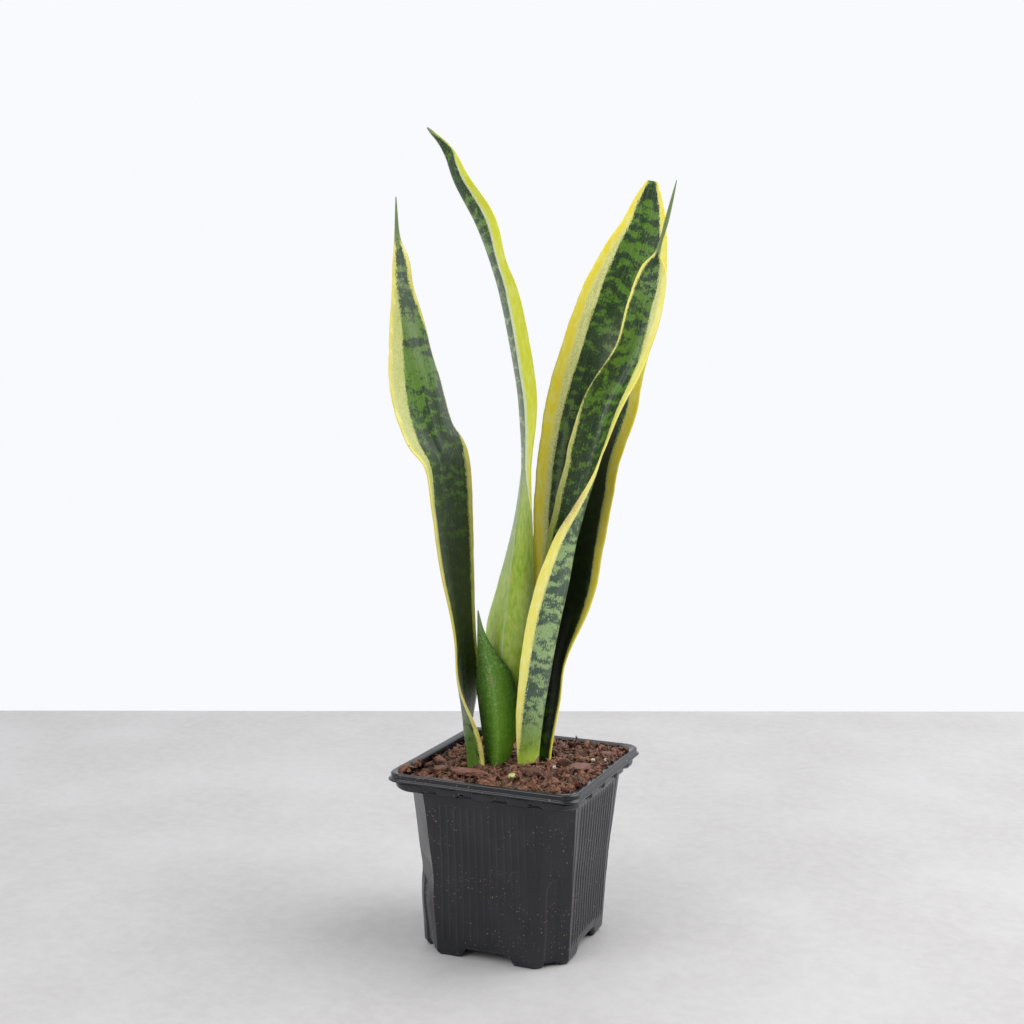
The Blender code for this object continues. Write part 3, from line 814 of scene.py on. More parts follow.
# %% The green middle
WAX_GREY = (0.5, 0.55, 0.45)
STREAK_GREEN = (0.12, 0.26, 0.01)
FLECK_PALE = (0.5, 0.6, 0.25)
FOLD_SHADE = (0.006, 0.011, 0.005)

# Painted sheen: where it is kept, the greens turn grey, a reflection of the bright room painted
# into the colour.
dark = blend(group, painted_sheen, look["Dark green"], look["Silver dark"])
flecks = times(group, ramp(group, bands["Mottle"], 0.5, 0.64), look["Flecks"])
dark = blend(group, flecks, dark, look["Light green"])
band = blend(group, painted_sheen, look["Light green"], look["Silver light"])
band = blend(group, ramp(group, mottle_fine, 0.53, 0.64, 0.0, 0.55), band, dark)
green = blend(group, bands["Mask"], dark, band)
green = blend(group, ramp(group, lines, 0.5, 0.7, 0.0, 0.12), green, WAX_GREY)
young = blend(group, ramp(group, mottle_wide, 0.3, 0.7), look["Fresh green"],
              look["Fresh pale"])
young = blend(group, ramp(group, streaks, 0.5, 0.72, 0.0, 0.25), young, STREAK_GREEN)
young_flecks = times(group, ramp(group, mottle_fine, 0.52, 0.64),
                     times(group, look["Flecks"], 0.4))
young = blend(group, young_flecks, young, FLECK_PALE)
green = blend(group, fresh, green, young)
# Painted shade: the green darkens deep in the fold and on the side turned from the light, where
# the blade is in shadow.
green = blend(group, times(group, painted_shade, 0.9), green, FOLD_SHADE)

# %% The pale zone and the yellow margin
EDGE_SWING = 7.0
PALE_MOTTLE = (0.34, 0.44, 0.08)
PALE_CLOUD = (0.45, 0.52, 0.08)
PALE_SHADE = (0.05, 0.06, 0.015)
MARGIN_STREAK = (0.7, 0.7, 0.08)
MARGIN_SHADE = (0.3, 0.27, 0.02)


def ragged_mask(depth, ragged_by, low, high):
    """Where a zone lies: its kept depth, with an edge that noise pushes in and out."""
    swing = times(group, centred(ragged_by), EDGE_SWING)
    return ramp(group, times_plus(group, swing, look["Ragged"], kept(group, depth)), low, high)


pale_noise = times_plus(group, mottle_fine, 0.55, times(group, lines, 0.45))
pale_mask = ragged_mask("pale_depth", pale_noise, -0.3, 0.5)
soft_noise = times_plus(group, mottle_wide, 0.5, times(group, mottle_fine, 0.5))
yellow_mask = ragged_mask("yellow_depth", soft_noise, -1.0, 1.0)
pale = blend(group, ramp(group, mottle_fine, 0.45, 0.64, 0.0, 0.5), look["Pale zone"],
             PALE_MOTTLE)
pale = blend(group, ramp(group, mottle_wide, 0.45, 0.65, 0.0, 0.3), pale, PALE_CLOUD)
# Painted shade on the pale zone and on the margin too, where they lie in shadow.
pale = blend(group, times(group, painted_shade, 0.6), pale, PALE_SHADE)
skin = blend(group, pale_mask, green, pale)
margin = blend(group, ramp(group, mottle_wide, 0.42, 0.66, 0.1, 0.8), look["Margin"],
               look["Margin pale"])
margin = blend(group, ramp(group, streaks, 0.55, 0.75, 0.0, 0.2), margin, MARGIN_STREAK)
margin = blend(group, times(group, painted_shade, 0.6), margin, MARGIN_SHADE)
skin = blend(group, yellow_mask, skin, margin)

# %% Scars, needle, painted keel glint, dry edge, specks and scuffs
SCAR_TAN = (0.55, 0.33, 0.22)
NEEDLE_GREEN = (0.17, 0.25, 0.09)
PAINTED_KEEL_GLINT = (0.5, 0.58, 0.42)
DRY_BROWN = (0.4, 0.26, 0.08)
SPECK_BROWN = (0.17, 0.1, 0.04)
SCUFF_GREY = (0.6, 0.65, 0.6)

hurt = times(group, scar, ramp(group, mottle_fine, 0.4, 0.55))
skin = blend(group, times(group, hurt, 0.8), skin, SCAR_TAN)
skin = blend(group, kept(group, "needle"), skin, NEEDLE_GREEN)
# A painted highlight: a thin pale glint along the keel on the outer face, where the ridge
# catches the light.
keel = ramp(group, maths(group, "ABSOLUTE", across), 0.15, 0.7, 1.0, 0.0)
keel = times(group, keel, ramp(group, inner, 0.1, 0.3, 1.0, 0.0))
skin = blend(group, times(group, keel, look["Keel line"]), skin, PAINTED_KEEL_GLINT)
dry = ramp(group, maths(group, "ABSOLUTE", centred(inner)), 0.1, 0.4, 1.0, 0.0)
dry = times(group, dry, ramp(group, mottle_wide, 0.4, 0.7, 0.05, 0.6))
skin = blend(group, dry, skin, DRY_BROWN)
blade_place = place_of(group, across, along, seed)
specks = use_group(group, SPECKS, Place=blade_place, Scale=0.22, Size=0.07, Share=0.14)
skin = blend(group, times(group, specks["Mask"], 0.6), skin, SPECK_BROWN)
scuffs = use_group(group, SCUFFS, Place=blade_place, Amount=0.3)["Mask"]
skin = blend(group, times(group, scuffs, 0.6), skin, SCUFF_GREY)

# %% What the leaf's skin gives
gloss = times_plus(group, streaks, 0.16, 0.33)
gloss = times_plus(group, scuffs, 0.2, gloss)
height = times_plus(group, streaks, 0.6, times(group, bands["Mottle"], 0.5))
feed(group, result.inputs["Color"], skin)
feed(group, result.inputs["Roughness"], gloss)
feed(group, result.inputs["Height"], height)
print("leaf skin:", len(LEAF_SKIN.nodes), "nodes")

# %% [markdown]
# ### Five leaves, five tempers
#
# The same skin gives each leaf its own look through the group's inputs: the tall young leaf is
# yellow green with a grey painted sheen, the short one a full green without a margin.

# %% Give each leaf its finish
LEAF_LOOKS = {
    "leaf_left": dict(Seed=1.3, Bands=0.0, Margin=(0.85, 0.74, 0.12, 1), Flecks=0.45,
                      Silver_dark=(0.09, 0.125, 0.09, 1), Pale_zone=(0.68, 0.7, 0.26, 1)),
    "leaf_tall": dict(Seed=4.1, Bands=-0.05, Margin=(0.66, 0.7, 0.012, 1), Ragged=0.5,
                      Margin_pale=(0.72, 0.8, 0.14, 1), Keel_line=0.6,
                      Fresh_green=(0.26, 0.45, 0.015, 1), Fresh_pale=(0.46, 0.56, 0.1, 1),
                      Pale_zone=(0.75, 0.8, 0.6, 1), Silver_dark=(0.18, 0.23, 0.15, 1),
                      Silver_light=(0.5, 0.55, 0.42, 1), Flecks=0.5),
    "leaf_broad": dict(Seed=8.6, Bands=-0.08, Margin=(1.0, 0.83, 0.03, 1), Flecks=0.4,
                       Margin_pale=(0.98, 0.93, 0.28, 1), Pale_zone=(0.9, 0.9, 0.4, 1),
                       Silver_dark=(0.11, 0.145, 0.11, 1), Silver_light=(0.28, 0.35, 0.2, 1)),
    "leaf_twisted": dict(Seed=12.2, Bands=0.0, Margin=(0.94, 0.86, 0.14, 1), Flecks=0.4,
                         Silver_dark=(0.04, 0.075, 0.055, 1), Silver_light=(0.3, 0.44, 0.17, 1),
                         Fresh_green=(0.36, 0.58, 0.03, 1), Fresh_pale=(0.5, 0.68, 0.1, 1),
                         Keel_line=0.5),
    "leaf_short": dict(Seed=17.5, Bands=-0.5, Dark_green=(0.07, 0.19, 0.014, 1),
                       Light_green=(0.27, 0.43, 0.13, 1), Fresh_green=(0.16, 0.42, 0.012, 1),
                       Fresh_pale=(0.24, 0.5, 0.04, 1), Flecks=1.0,
                       Margin=(0.1, 0.08, 0.02, 1), Pale_zone=(0.05, 0.09, 0.02, 1)),
}
for name, look in LEAF_LOOKS.items():
    material, tree, shader = new_finish(
        name + "_skin", Coat_Weight=0.06, Coat_Roughness=0.35, Specular_IOR_Level=0.5,
        Subsurface_Weight=0.06, Subsurface_Scale=0.002)
    skin = use_group(tree, LEAF_SKIN, **look)
    feed(tree, shader.inputs["Base Color"], skin["Color"])
    feed(tree, shader.inputs["Roughness"], skin["Roughness"])
    relief(tree, shader, skin["Height"], 0.12 * MM, 0.6)
    leaves[name].data.materials.append(material)
print("leaf finishes:", len(LEAF_LOOKS))

# %% [markdown]
# ## The nursery pot
#
# The pot is one sheet of black plastic, drawn down over a mould while soft. So every
# feature, rib, band, lip, foot, is in the same thin wall. It is modelled the same way: a
# stack of rings that starts under the floor, runs up the outside, over the lip and down
# the inside to the floor again, with each feature as a push of the wall at its own place.

# %% Pot sizes
FOOT_HALF = 40.0 * MM
SHOULDER_HALF = 46.4 * MM
SHOULDER_UP = 87.0 * MM
CORNER_CUT = 13.0 * MM
WALL = 0.8 * MM
ARCH_UP = 4.7 * MM
ARCH_HALF = 11.0 * MM
ARCH_SLOPE = 4.5 * MM
RIB_PITCH = 3.9 * MM
RIB_ZONE = 24.5 * MM
FACE_COLUMNS = 190
CORNER_COLUMNS = 26
ELSEWHERE = 9.0
WAIST = 0.9 * MM
SAG_LEFT = 3.4 * MM
SAG_BACK = 5.5 * MM

# (half side, height, corner cut, how round the corners are, how much of the band) for
# the wall's outside above the shoulder, over the lip and a little way down the inside.
LIP_PROFILE = [
    (46.4, 86.2, 13.0, 0.0, 0.0), (46.8, 86.4, 12.4, 0.05, 0.1), (48.6, 86.5, 10.6, 0.4, 0.6),
    (49.5, 86.7, 9.8, 0.6, 1.0), (50.1, 87.1, 9.2, 0.65, 1.0), (50.4, 87.7, 9.0, 0.7, 1.0),
    (50.4, 88.4, 8.6, 0.8, 1.0), (50.3, 89.6, 8.4, 0.9, 1.0), (50.35, 90.2, 8.2, 1.0, 1.0),
    (50.2, 90.7, 8.0, 1.0, 0.8), (49.8, 91.0, 8.0, 1.0, 0.0), (50.2, 91.4, 8.0, 1.0, 0.0),
    (51.5, 91.6, 8.0, 1.0, 0.0), (52.4, 91.7, 8.0, 1.0, 0.0), (52.8, 92.1, 8.0, 1.0, 0.0),
    (52.8, 92.6, 8.0, 1.0, 0.0), (52.4, 92.95, 8.0, 1.0, 0.0), (51.95, 93.1, 8.0, 1.0, 0.0),
    (51.8, 93.5, 8.0, 1.0, 0.0), (51.8, 94.4, 8.0, 1.0, 0.0), (51.9, 95.0, 8.0, 1.0, 0.0),
    (51.8, 95.5, 8.0, 1.0, 0.0), (51.4, 95.9, 8.0, 1.0, 0.0), (50.8, 96.0, 8.2, 1.0, 0.0),
    (50.1, 95.8, 8.4, 1.0, 0.0), (49.2, 95.6, 8.6, 1.0, 0.0), (48.4, 95.5, 8.8, 1.0, 0.0),
    (47.9, 95.2, 8.8, 1.0, 0.0), (47.7, 94.6, 8.8, 1.0, 0.0), (47.6, 92.0, 9.0, 0.9, 0.0),
    (47.4, 89.0, 10.0, 0.8, 0.0), (46.0, 87.4, 12.0, 0.3, 0.0), (45.5, 86.0, 12.2, 0.0, 0.0),
]


# %% One ring of the wall
def foot_height(x, y):
    """How high the underside stands over a place: arches between feet at the corners."""
    def arch(s):
        """The arch's height at a distance along one side."""
        return ARCH_UP * (1 - step(np.abs(s), ARCH_HALF, ARCH_HALF + ARCH_SLOPE))
    return np.maximum(arch(x), arch(y))


def wall_ring(half, cut, roundness):
    """Points round one ring, their outward directions, and where they are on the wall.

    A point of a flat face knows how far along the face it is, and a point of a corner how
    far from the corner's middle. The other of the two values is ELSEWHERE.
    """
    face_x = (np.arange(FACE_COLUMNS) / FACE_COLUMNS * 2 - 1) * (half - cut)
    bend = np.arange(CORNER_COLUMNS) / CORNER_COLUMNS
    angle = math.pi / 2 * (bend - 1)
    flat_x, flat_y = half - cut + cut * bend, -half + cut * bend
    arc_x, arc_y = half - cut + cut * np.cos(angle), -half + cut + cut * np.sin(angle)
    soft = 0.12 + 0.88 * roundness
    lean = math.pi / 4 * (1 + np.sign(bend - 0.5) * np.abs(2 * bend - 1) ** (1 / soft))
    px = np.concatenate([face_x, flat_x + (arc_x - flat_x) * roundness])
    py = np.concatenate([face_x * 0 - half, flat_y + (arc_y - flat_y) * roundness])
    dx = np.concatenate([face_x * 0, np.sin(lean)])
    dy = np.concatenate([face_x * 0 - 1, -np.cos(lean)])
    along = np.concatenate([face_x, np.full(CORNER_COLUMNS, ELSEWHERE)])
    corner = np.concatenate([np.full(FACE_COLUMNS, ELSEWHERE),
                             (bend - 0.5) * cut * math.sqrt(2)])
    quarters = []
    for quarter in range(4):
        c, s = math.cos(math.pi / 2 * quarter), math.sin(math.pi / 2 * quarter)
        quarters.append((px * c - py * s, px * s + py * c, dx * c - dy * s, dx * s + dy * c,
                         along, corner))
    return [np.concatenate(values) for values in zip(*quarters)]


# %% [markdown]
# ### What is pressed into the wall
#
# Each face carries a field of thin upright ribs with a plain border, and one finer ridge
# near each end. The flat corners have a narrow groove in their lower half. The band under
# the lip is cut into blocks, so that stacked pots don't stick together. All of this could
# be drawn with a bump, but real steps in the wall also change its outline and its shine.

# %% Ribs, grooves and blocks
RIB_HEIGHT = 0.5 * MM
RIB_HALF = 0.62 * MM
RIDGE_PLACE = 28.4 * MM
FINE_RIDGE_HEIGHT = 0.3 * MM
FINE_RIDGE_HALF = 0.35 * MM
GROOVE_TOP = 43 * MM
GROOVE_ROUND = 3.4 * MM
GROOVE_ASIDE = 1.0 * MM
GROOVE_DEEP = 0.75 * MM
BLOCK_PITCH = 19.5
BLOCK_LONG = 11.0
BLOCK_START = 4.2
DENT_DEEP = 0.5 * MM
DENT_SIZE = 34 * MM
KINK_IN = 1.2 * MM
KINK_OUT = 1.4 * MM


def wall_push(along, corner, z):
    """How far the wall is pushed outwards at a place on its body."""
    rib = np.abs((along / RIB_PITCH + 0.5) % 1.0 - 0.5) * RIB_PITCH
    on_face = np.abs(along) < ELSEWHERE
    field = on_face * (1 - step(np.abs(along), RIB_ZONE, RIB_ZONE + 0.6 * MM))
    field = field * step(z, 6 * MM, 12 * MM) * (1 - step(z, 80 * MM, 84 * MM))
    push = RIB_HEIGHT * field * np.exp(-(rib / RIB_HALF) ** 2)
    fine = np.exp(-((np.abs(along) - RIDGE_PLACE) / FINE_RIDGE_HALF) ** 2)
    push += on_face * FINE_RIDGE_HEIGHT * fine * step(z, 8 * MM, 14 * MM)
    on_corner = np.abs(corner) < ELSEWHERE
    top = GROOVE_TOP + np.sqrt(np.maximum(GROOVE_ROUND ** 2 - corner ** 2, 0) * on_corner)
    groove = on_corner * (1 - step(np.abs(corner + GROOVE_ASIDE), 2.8 * MM, 3.6 * MM))
    push -= GROOVE_DEEP * groove * (1 - step(z, top - 0.6 * MM, top + 0.6 * MM))
    return push


def between_blocks(along):
    """1 in the gaps between the stacking band's blocks, 0 on the blocks."""
    place = (along / MM + BLOCK_START) % BLOCK_PITCH
    block = step(place, 0.0, 0.6) * (1 - step(place, BLOCK_LONG, BLOCK_LONG + 0.6))
    on_face = (np.abs(along) < ELSEWHERE) * (1 - step(np.abs(along), 33 * MM, 36 * MM))
    return on_face * (1 - block)


def unevenness(x, y, z):
    """Thin walls are never quite flat: slow dents, and one kink low at the left corner."""
    points = np.stack([x, y, z + 0 * x], axis=1)
    dent = DENT_DEEP * rough(points, DENT_SIZE, 3.0, 2)
    near = np.exp(-((x + 40 * MM) / (11 * MM)) ** 2 - ((y + 38 * MM) / (13 * MM)) ** 2)
    kink = near * (KINK_IN * np.exp(-((z - 42 * MM) / (7 * MM)) ** 2)
                   - KINK_OUT * np.exp(-((z - 24 * MM) / (12 * MM)) ** 2))
    return dent - kink


def settled(points, axis=(0.0, 0.0)):
    """X and Y of points after the pot's walls have given way a little towards the foot."""
    x, y = points[:, 0] - axis[0], points[:, 1] - axis[1]
    low_down = np.clip(1 - points[:, 2] / SHOULDER_UP, 0, 1) ** 1.2
    left = np.clip((FOOT_HALF - x) / (2 * FOOT_HALF), 0, 1)
    back = np.clip((FOOT_HALF + y) / (2 * FOOT_HALF), 0, 1)
    y = y - low_down * (SAG_LEFT * left + SAG_BACK * back)
    return np.stack([x + axis[0], y + axis[1]], axis=1)


# %% Rings from the feet to the lip and back down inside
TOE_LIFT = 1.4 * MM
TOE_HALF = 4.5 * MM
LIP_WAVE = 0.12 * MM
GAP_DEEP = 0.65 * MM
GAP_RISE = 0.7 * MM


def wall_half(z):
    """Half the pot's outer width at a height: a straight draft with a slight waist."""
    draft = FOOT_HALF + (SHOULDER_HALF - FOOT_HALF) * z / SHOULDER_UP
    return draft - WAIST * math.sin(math.pi * z / SHOULDER_UP)


def body_levels():
    """Half width and height of each ring below the shoulder, tucked in at the very foot."""
    heights = np.concatenate([[0.0, 0.5, 1.2, 2.2, 3.4], np.arange(5.0, 86.0, 1.1)]) * MM
    levels = []
    for z in heights:
        half = wall_half(z)
        tuck = 1.1 * MM * (1 - step(z, 0.0, 2.6 * MM)) ** 2
        levels.append((half - tuck, z))
    return levels


def ring_points(x, y, nx, ny, push, z):
    """A ring's points once its wall is pushed outwards."""
    return np.stack([x + nx * push, y + ny * push, z + 0 * x], axis=1)


def outside_rings():
    """From the feet up to the shoulder, then over the lip and down to the mix."""
    rings = []
    for half, z in body_levels():
        x, y, nx, ny, along, corner = wall_ring(half, CORNER_CUT, 0.0)
        push = wall_push(along, corner, z) + unevenness(x, y, z)
        lift = np.maximum(foot_height(x, y), TOE_LIFT * (np.abs(corner) < TOE_HALF))
        lift = lift * (1 - step(z, 0.0, 14 * MM))
        rings.append(ring_points(x, y, nx, ny, push, z + lift))
    for half, z, cut, roundness, band in LIP_PROFILE:
        x, y, nx, ny, along, corner = wall_ring(half * MM, cut * MM, roundness)
        gap = band * between_blocks(along)
        wave = LIP_WAVE * wander(np.arctan2(y, x), 4, 2 * math.pi / 3)
        wave = wave + GAP_RISE * gap * (z < 88.0)
        rings.append(ring_points(x, y, nx, ny, -GAP_DEEP * gap, z * MM + wave))
    return rings


def inside_rings():
    """Plain rings down the hidden inside of the wall."""
    rings = []
    for z in np.linspace(84.0, 7.0, 16) * MM:
        x, y, nx, ny, along, corner = wall_ring(wall_half(z) - WALL, CORNER_CUT - WALL, 0.0)
        rings.append(ring_points(x, y, nx, ny, 0.0, z))
    return rings


def floor_rings(first, count, thick):
    """Rings that shrink to the middle over a floor that follows the feet and arches."""
    rings = []
    for k in range(1, count):
        x, y = first[:, 0] * (1 - k / count), first[:, 1] * (1 - k / count)
        rings.append(np.stack([x, y, foot_height(x, y) + thick], axis=1))
    return rings


# %% Join the pot's rings
def build_pot():
    """The whole shell: under the floor, up outside, over the lip, down and over the floor."""
    outside = outside_rings()
    inside = inside_rings()
    under = floor_rings(outside[0], 34, 0.0)[::-1]
    over = floor_rings(inside[-1], 22, WALL)
    rings = under + outside + inside + over
    count = len(rings[0])
    points = np.concatenate(rings)
    middle = len(points)
    points = np.vstack([points, [[0, 0, ARCH_UP], [0, 0, ARCH_UP + WALL]]])
    points[:, :2] = settled(points)
    points += (POT_X, POT_Y, 0)
    faces = tube_faces(len(rings), count)
    last = (len(rings) - 1) * count
    for i in range(count):
        j = (i + 1) % count
        faces.append((j, i, middle))
        faces.append((last + i, last + j, middle + 1))
    return add_piece("nursery_pot_fine", points, faces, "black_plastic", "nursery_pot")


pot = build_pot()
print("pot:", len(pot.data.polygons), "faces")

# %% [markdown]
# ### Drain holes
#
# Five round holes let water out of the floor. A Boolean takes them out of the thin
# floor, which leaves clean edges without any change to the rings.

# %% Cut the drain holes
DRAIN_RADIUS = 4.0 * MM
DRAIN_REACH = 24.0 * MM
DRAIN_PLACES = [(0, 0), (1, 0), (-1, 0), (0, 1), (0, -1)]


def drain_tool():
    """Five hidden rods, one for each hole."""
    tool = bmesh.new()
    for across, deep in DRAIN_PLACES:
        made = bmesh.ops.create_cone(tool, cap_ends=True, segments=32, radius1=DRAIN_RADIUS,
                                     radius2=DRAIN_RADIUS, depth=12 * MM)
        middle = (POT_X + across * DRAIN_REACH, POT_Y + deep * DRAIN_REACH, 4 * MM)
        bmesh.ops.translate(tool, verts=made["verts"], vec=middle)
    mesh = bpy.data.meshes.new("drain_tool")
    tool.to_mesh(mesh)
    tool.free()
    thing = new_object("drain_tool", mesh)
    thing.hide_render = True
    thing.display_type = "WIRE"
    return thing


cut = pot.modifiers.new("drain_holes", "BOOLEAN")
cut.operation = "DIFFERENCE"
cut.solver = "EXACT"
cut.object = drain_tool()
print("drain holes:", len(DRAIN_PLACES))

# %% [markdown]
# ### Dusty black plastic
#
# Thin polypropylene is charcoal rather than black. It has a satin gloss that is streaky
# along the draw of the mould, a film of pale dust, and specks of bark and sand that stick
# to it after watering. The specks are more common on some patches than on others.

# %% Black plastic
DRAW_SCALE = (900, 900, 40)
DRAW_GREY = (0.04, 0.042, 0.05)
DUST_GREY = (0.12, 0.1, 0.09)

material, tree, shader = new_finish("dusty_black_plastic", Specular_IOR_Level=0.5)
where = object_place(tree)
draw = grain(tree, stretched(tree, where, DRAW_SCALE), 1.0, 3.0, 0.6)
cloud = grain(tree, where, 55.0, 4.0, 0.6)
dusty = grain(tree, where, 900.0, 3.0, 0.7)
base = blend(tree, ramp(tree, cloud, 0.35, 0.7), (0.004, 0.0048, 0.0078),
             (0.012, 0.013, 0.0185))
base = blend(tree, ramp(tree, draw, 0.5, 0.8, 0.0, 0.2), base, DRAW_GREY)
base = blend(tree, ramp(tree, dusty, 0.62, 0.75, 0.0, 0.1), base, DUST_GREY)

# %% Specks that stick to the pot
SPECK_DARK = (0.1, 0.055, 0.035)
SPECK_LIGHT = (0.3, 0.21, 0.14)
SPECK_LARGE = (0.22, 0.13, 0.08)

patchy = ramp(tree, grain(tree, where, 38.0), 0.42, 0.62, 0.04, 0.36)
small = use_group(tree, SPECKS, Place=where, Scale=900.0, Size=0.24, Share=patchy)
tint = blend(tree, small["Tint"], SPECK_DARK, SPECK_LIGHT)
base = blend(tree, times(tree, small["Mask"], 0.6), base, tint)
large = use_group(tree, SPECKS, Place=where, Scale=260.0, Size=0.1, Share=0.08)
base = blend(tree, times(tree, large["Mask"], 0.8), base, SPECK_LARGE)
matt = times_plus(tree, small["Mask"], 0.3, times_plus(tree, draw, 0.12, 0.13))
lumps = times_plus(tree, small["Mask"], 0.6, times(tree, draw, 0.5))
feed(tree, shader.inputs["Base Color"], base)
feed(tree, shader.inputs["Roughness"], matt)
relief(tree, shader, lumps, 0.08 * MM, 0.7)
pot.data.materials.append(material)
print("pot finish:", len(tree.nodes), "nodes")

# %% [markdown]
# ## The potting mix
#
# The mix is loose: bark crumbs, coir threads, a few white grains of perlite. Under the
# crumbs lies one lumpy ground that closes the view. On it lie more than three thousand
# separate crumbs, each a rough lump of its own, since the light between real crumbs
# can't be had from a bump map.

# %% The ground's height
MIX_HALF = 47.0 * MM
MIX_LEVEL = 91.0 * MM
MIX_TILT = 2.0 * MM
MIX_HEAP = 3.0 * MM
HEAP_REACH = 26.0 * MM
MIX_BANK = 2.2 * MM
BANK_START = 38 * MM


def mix_height(x, y):
    """The mix's surface, measured from the pot's axis: heaped mid, and up the walls."""
    tilt = MIX_TILT * (x + 0.4 * y) / MIX_HALF
    heap = MIX_HEAP * np.exp(-(x * x + y * y) / (HEAP_REACH * HEAP_REACH))
    edge = np.maximum(np.abs(x), np.abs(y))
    return MIX_LEVEL + tilt + heap + MIX_BANK * step(edge, BANK_START, MIX_HALF)


# %% The ground
GROUND_COLUMNS = 200
GROUND_CORNER = 8 * MM
LUMP_HIGH = 1.3 * MM
LUMP_SIZE = 7 * MM
# (half side, corner cut, height) in millimetres, down the sides of the mix.
MIX_SIDES = [(46.4, 9.5, 89.4), (44.0, 14.0, 86.0), (40.2, 14.0, 46.0), (37.4, 14.0, 8.0)]


def cut_corners(x, y, reach):
    """Moves places back to a slanting line across each corner, where |x| + |y| = reach."""
    over = np.maximum(np.abs(x) + np.abs(y) - reach, 0) / 2
    return x - np.sign(x) * over, y - np.sign(y) * over


def border(n):
    """Indices round the edge of an n by n grid."""
    rim = list(range(n)) + [r * n + n - 1 for r in range(1, n)]
    rim += [n * (n - 1) + c for c in range(n - 2, -1, -1)]
    return rim + [r * n for r in range(n - 2, 0, -1)]


def build_ground():
    """A lumpy sheet, with rings of wall under its edge that close it at the bottom."""
    n = GROUND_COLUMNS
    side = np.linspace(-1, 1, n)
    gx, gy = [a.ravel() * MIX_HALF for a in np.meshgrid(side, side)]
    gx, gy = cut_corners(gx, gy, 2 * MIX_HALF - GROUND_CORNER)
    flat = np.stack([gx, gy, 0 * gx], axis=1)
    z = mix_height(gx, gy) - LUMP_HIGH + LUMP_HIGH * rough(flat, LUMP_SIZE, 1.0, 4)
    points = np.stack([gx + POT_X, gy + POT_Y, z], axis=1)
    faces = [(r * n + c, r * n + c + 1, (r + 1) * n + c + 1, (r + 1) * n + c)
             for r in range(n - 1) for c in range(n - 1)]
    rim = border(n)
    for half, cut, z in MIX_SIDES:
        ring = points[rim] - (POT_X, POT_Y, 0)
        ring[:, :2] *= half / (MIX_HALF / MM)
        ring[:, 0], ring[:, 1] = cut_corners(ring[:, 0], ring[:, 1], (2 * half - cut) * MM)
        ring[:, 2] = z * MM
        under = list(range(len(points), len(points) + len(rim)))
        points = np.vstack([points, ring + (POT_X, POT_Y, 0)])
        for i in range(len(rim)):
            j = (i + 1) % len(rim)
            faces.append((rim[j], rim[i], under[i], under[j]))
        rim = under
    faces.append(tuple(reversed(rim)))
    points[:, :2] = settled(points, (POT_X, POT_Y))
    return add_piece("potting_mix_ground", points, faces, "potting_mix", "potting_mix")


ground = build_ground()
print("ground:", len(ground.data.polygons), "faces")

# %% [markdown]
# ### Crumbs
#
# Each crumb starts as a small ball of triangles. It is squashed, stretched and broken up
# with noise, then dropped on the ground with a random turn. All crumbs are joined into
# one piece, and each keeps one random number, from which the finish picks its colour.

# %% A rough lump
def ball(detail):
    """Points and faces of a ball of triangles with a radius of 1."""
    shape = bmesh.new()
    bmesh.ops.create_icosphere(shape, subdivisions=detail, radius=1.0)
    points = np.array([v.co for v in shape.verts])
    faces = [tuple(v.index for v in f.verts) for f in shape.faces]
    shape.free()
    return points, faces


BALLS = {detail: ball(detail) for detail in (1, 2, 4, 5)}


def lump(dice, size, detail, break_up=0.45, turn=None):
    """A broken lump of the given three sizes, turned at random."""
    points, faces = BALLS[detail]
    seed = dice.uniform(0, 500)
    grow = 1 + break_up * rough(points, 0.6, seed, 3)
    shaped = points * grow[:, None] * (np.array(size) / 2)
    if turn is None:
        turn = (dice.uniform(-0.6, 0.6), dice.uniform(-0.6, 0.6), dice.uniform(0, 6.3))
    return shaped @ np.array(Euler(turn).to_matrix()).T, faces


class Heap:
    """Collects many small shapes into one piece."""

    def __init__(self):
        self.points, self.faces, self.tones, self.count = [], [], [], 0

    def add(self, points, faces, tone):
        """One more shape, with the number from which the finish picks its colour."""
        self.faces += [tuple(i + self.count for i in face) for face in faces]
        self.points.append(points)
        self.tones.append(np.full(len(points), tone))
        self.count += len(points)

    def piece(self, name, slot, *nodes):
        """All the shapes as one piece of the model."""
        made = add_piece(name, np.concatenate(self.points), self.faces, slot, *nodes)
        keep_values(made, "tone", np.concatenate(self.tones))
        return made


# %% Where a crumb may fall
# The leaves' feet: (across, deep, radius) in millimetres.
STEMS = [(-25.5, 0, 8.5), (-10.5, 1, 9), (12, 2, 9), (15, 14, 10)]
STEM_SHARE = 0.72
OVERLAP = 0.7 * MM
CRUMB_HALF = MIX_HALF - 1.3 * MM
stem_places = [(*from_fan(a * MM, d * MM), r * MM) for a, d, r in STEMS]
loose_names = ["bark_chip_%d" % i for i in range(1, 7)]
loose_names += ["perlite_%d" % i for i in range(1, 6)] + ["fertiliser_pellet"]
loose_boxes = [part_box(name) for name in loose_names]


def clear_of_leaves(x, y):
    """Whether a place is outside each leaf's foot."""
    return all((x - sx) ** 2 + (y - sy) ** 2 > (r * STEM_SHARE) ** 2
               for sx, sy, r in stem_places)


def clear_of_loose(x, y):
    """Whether no larger loose piece lies over a place. A little overlap looks natural."""
    return not any(low.x + OVERLAP < x < high.x - OVERLAP
                   and low.y + OVERLAP < y < high.y - OVERLAP for low, high in loose_boxes)


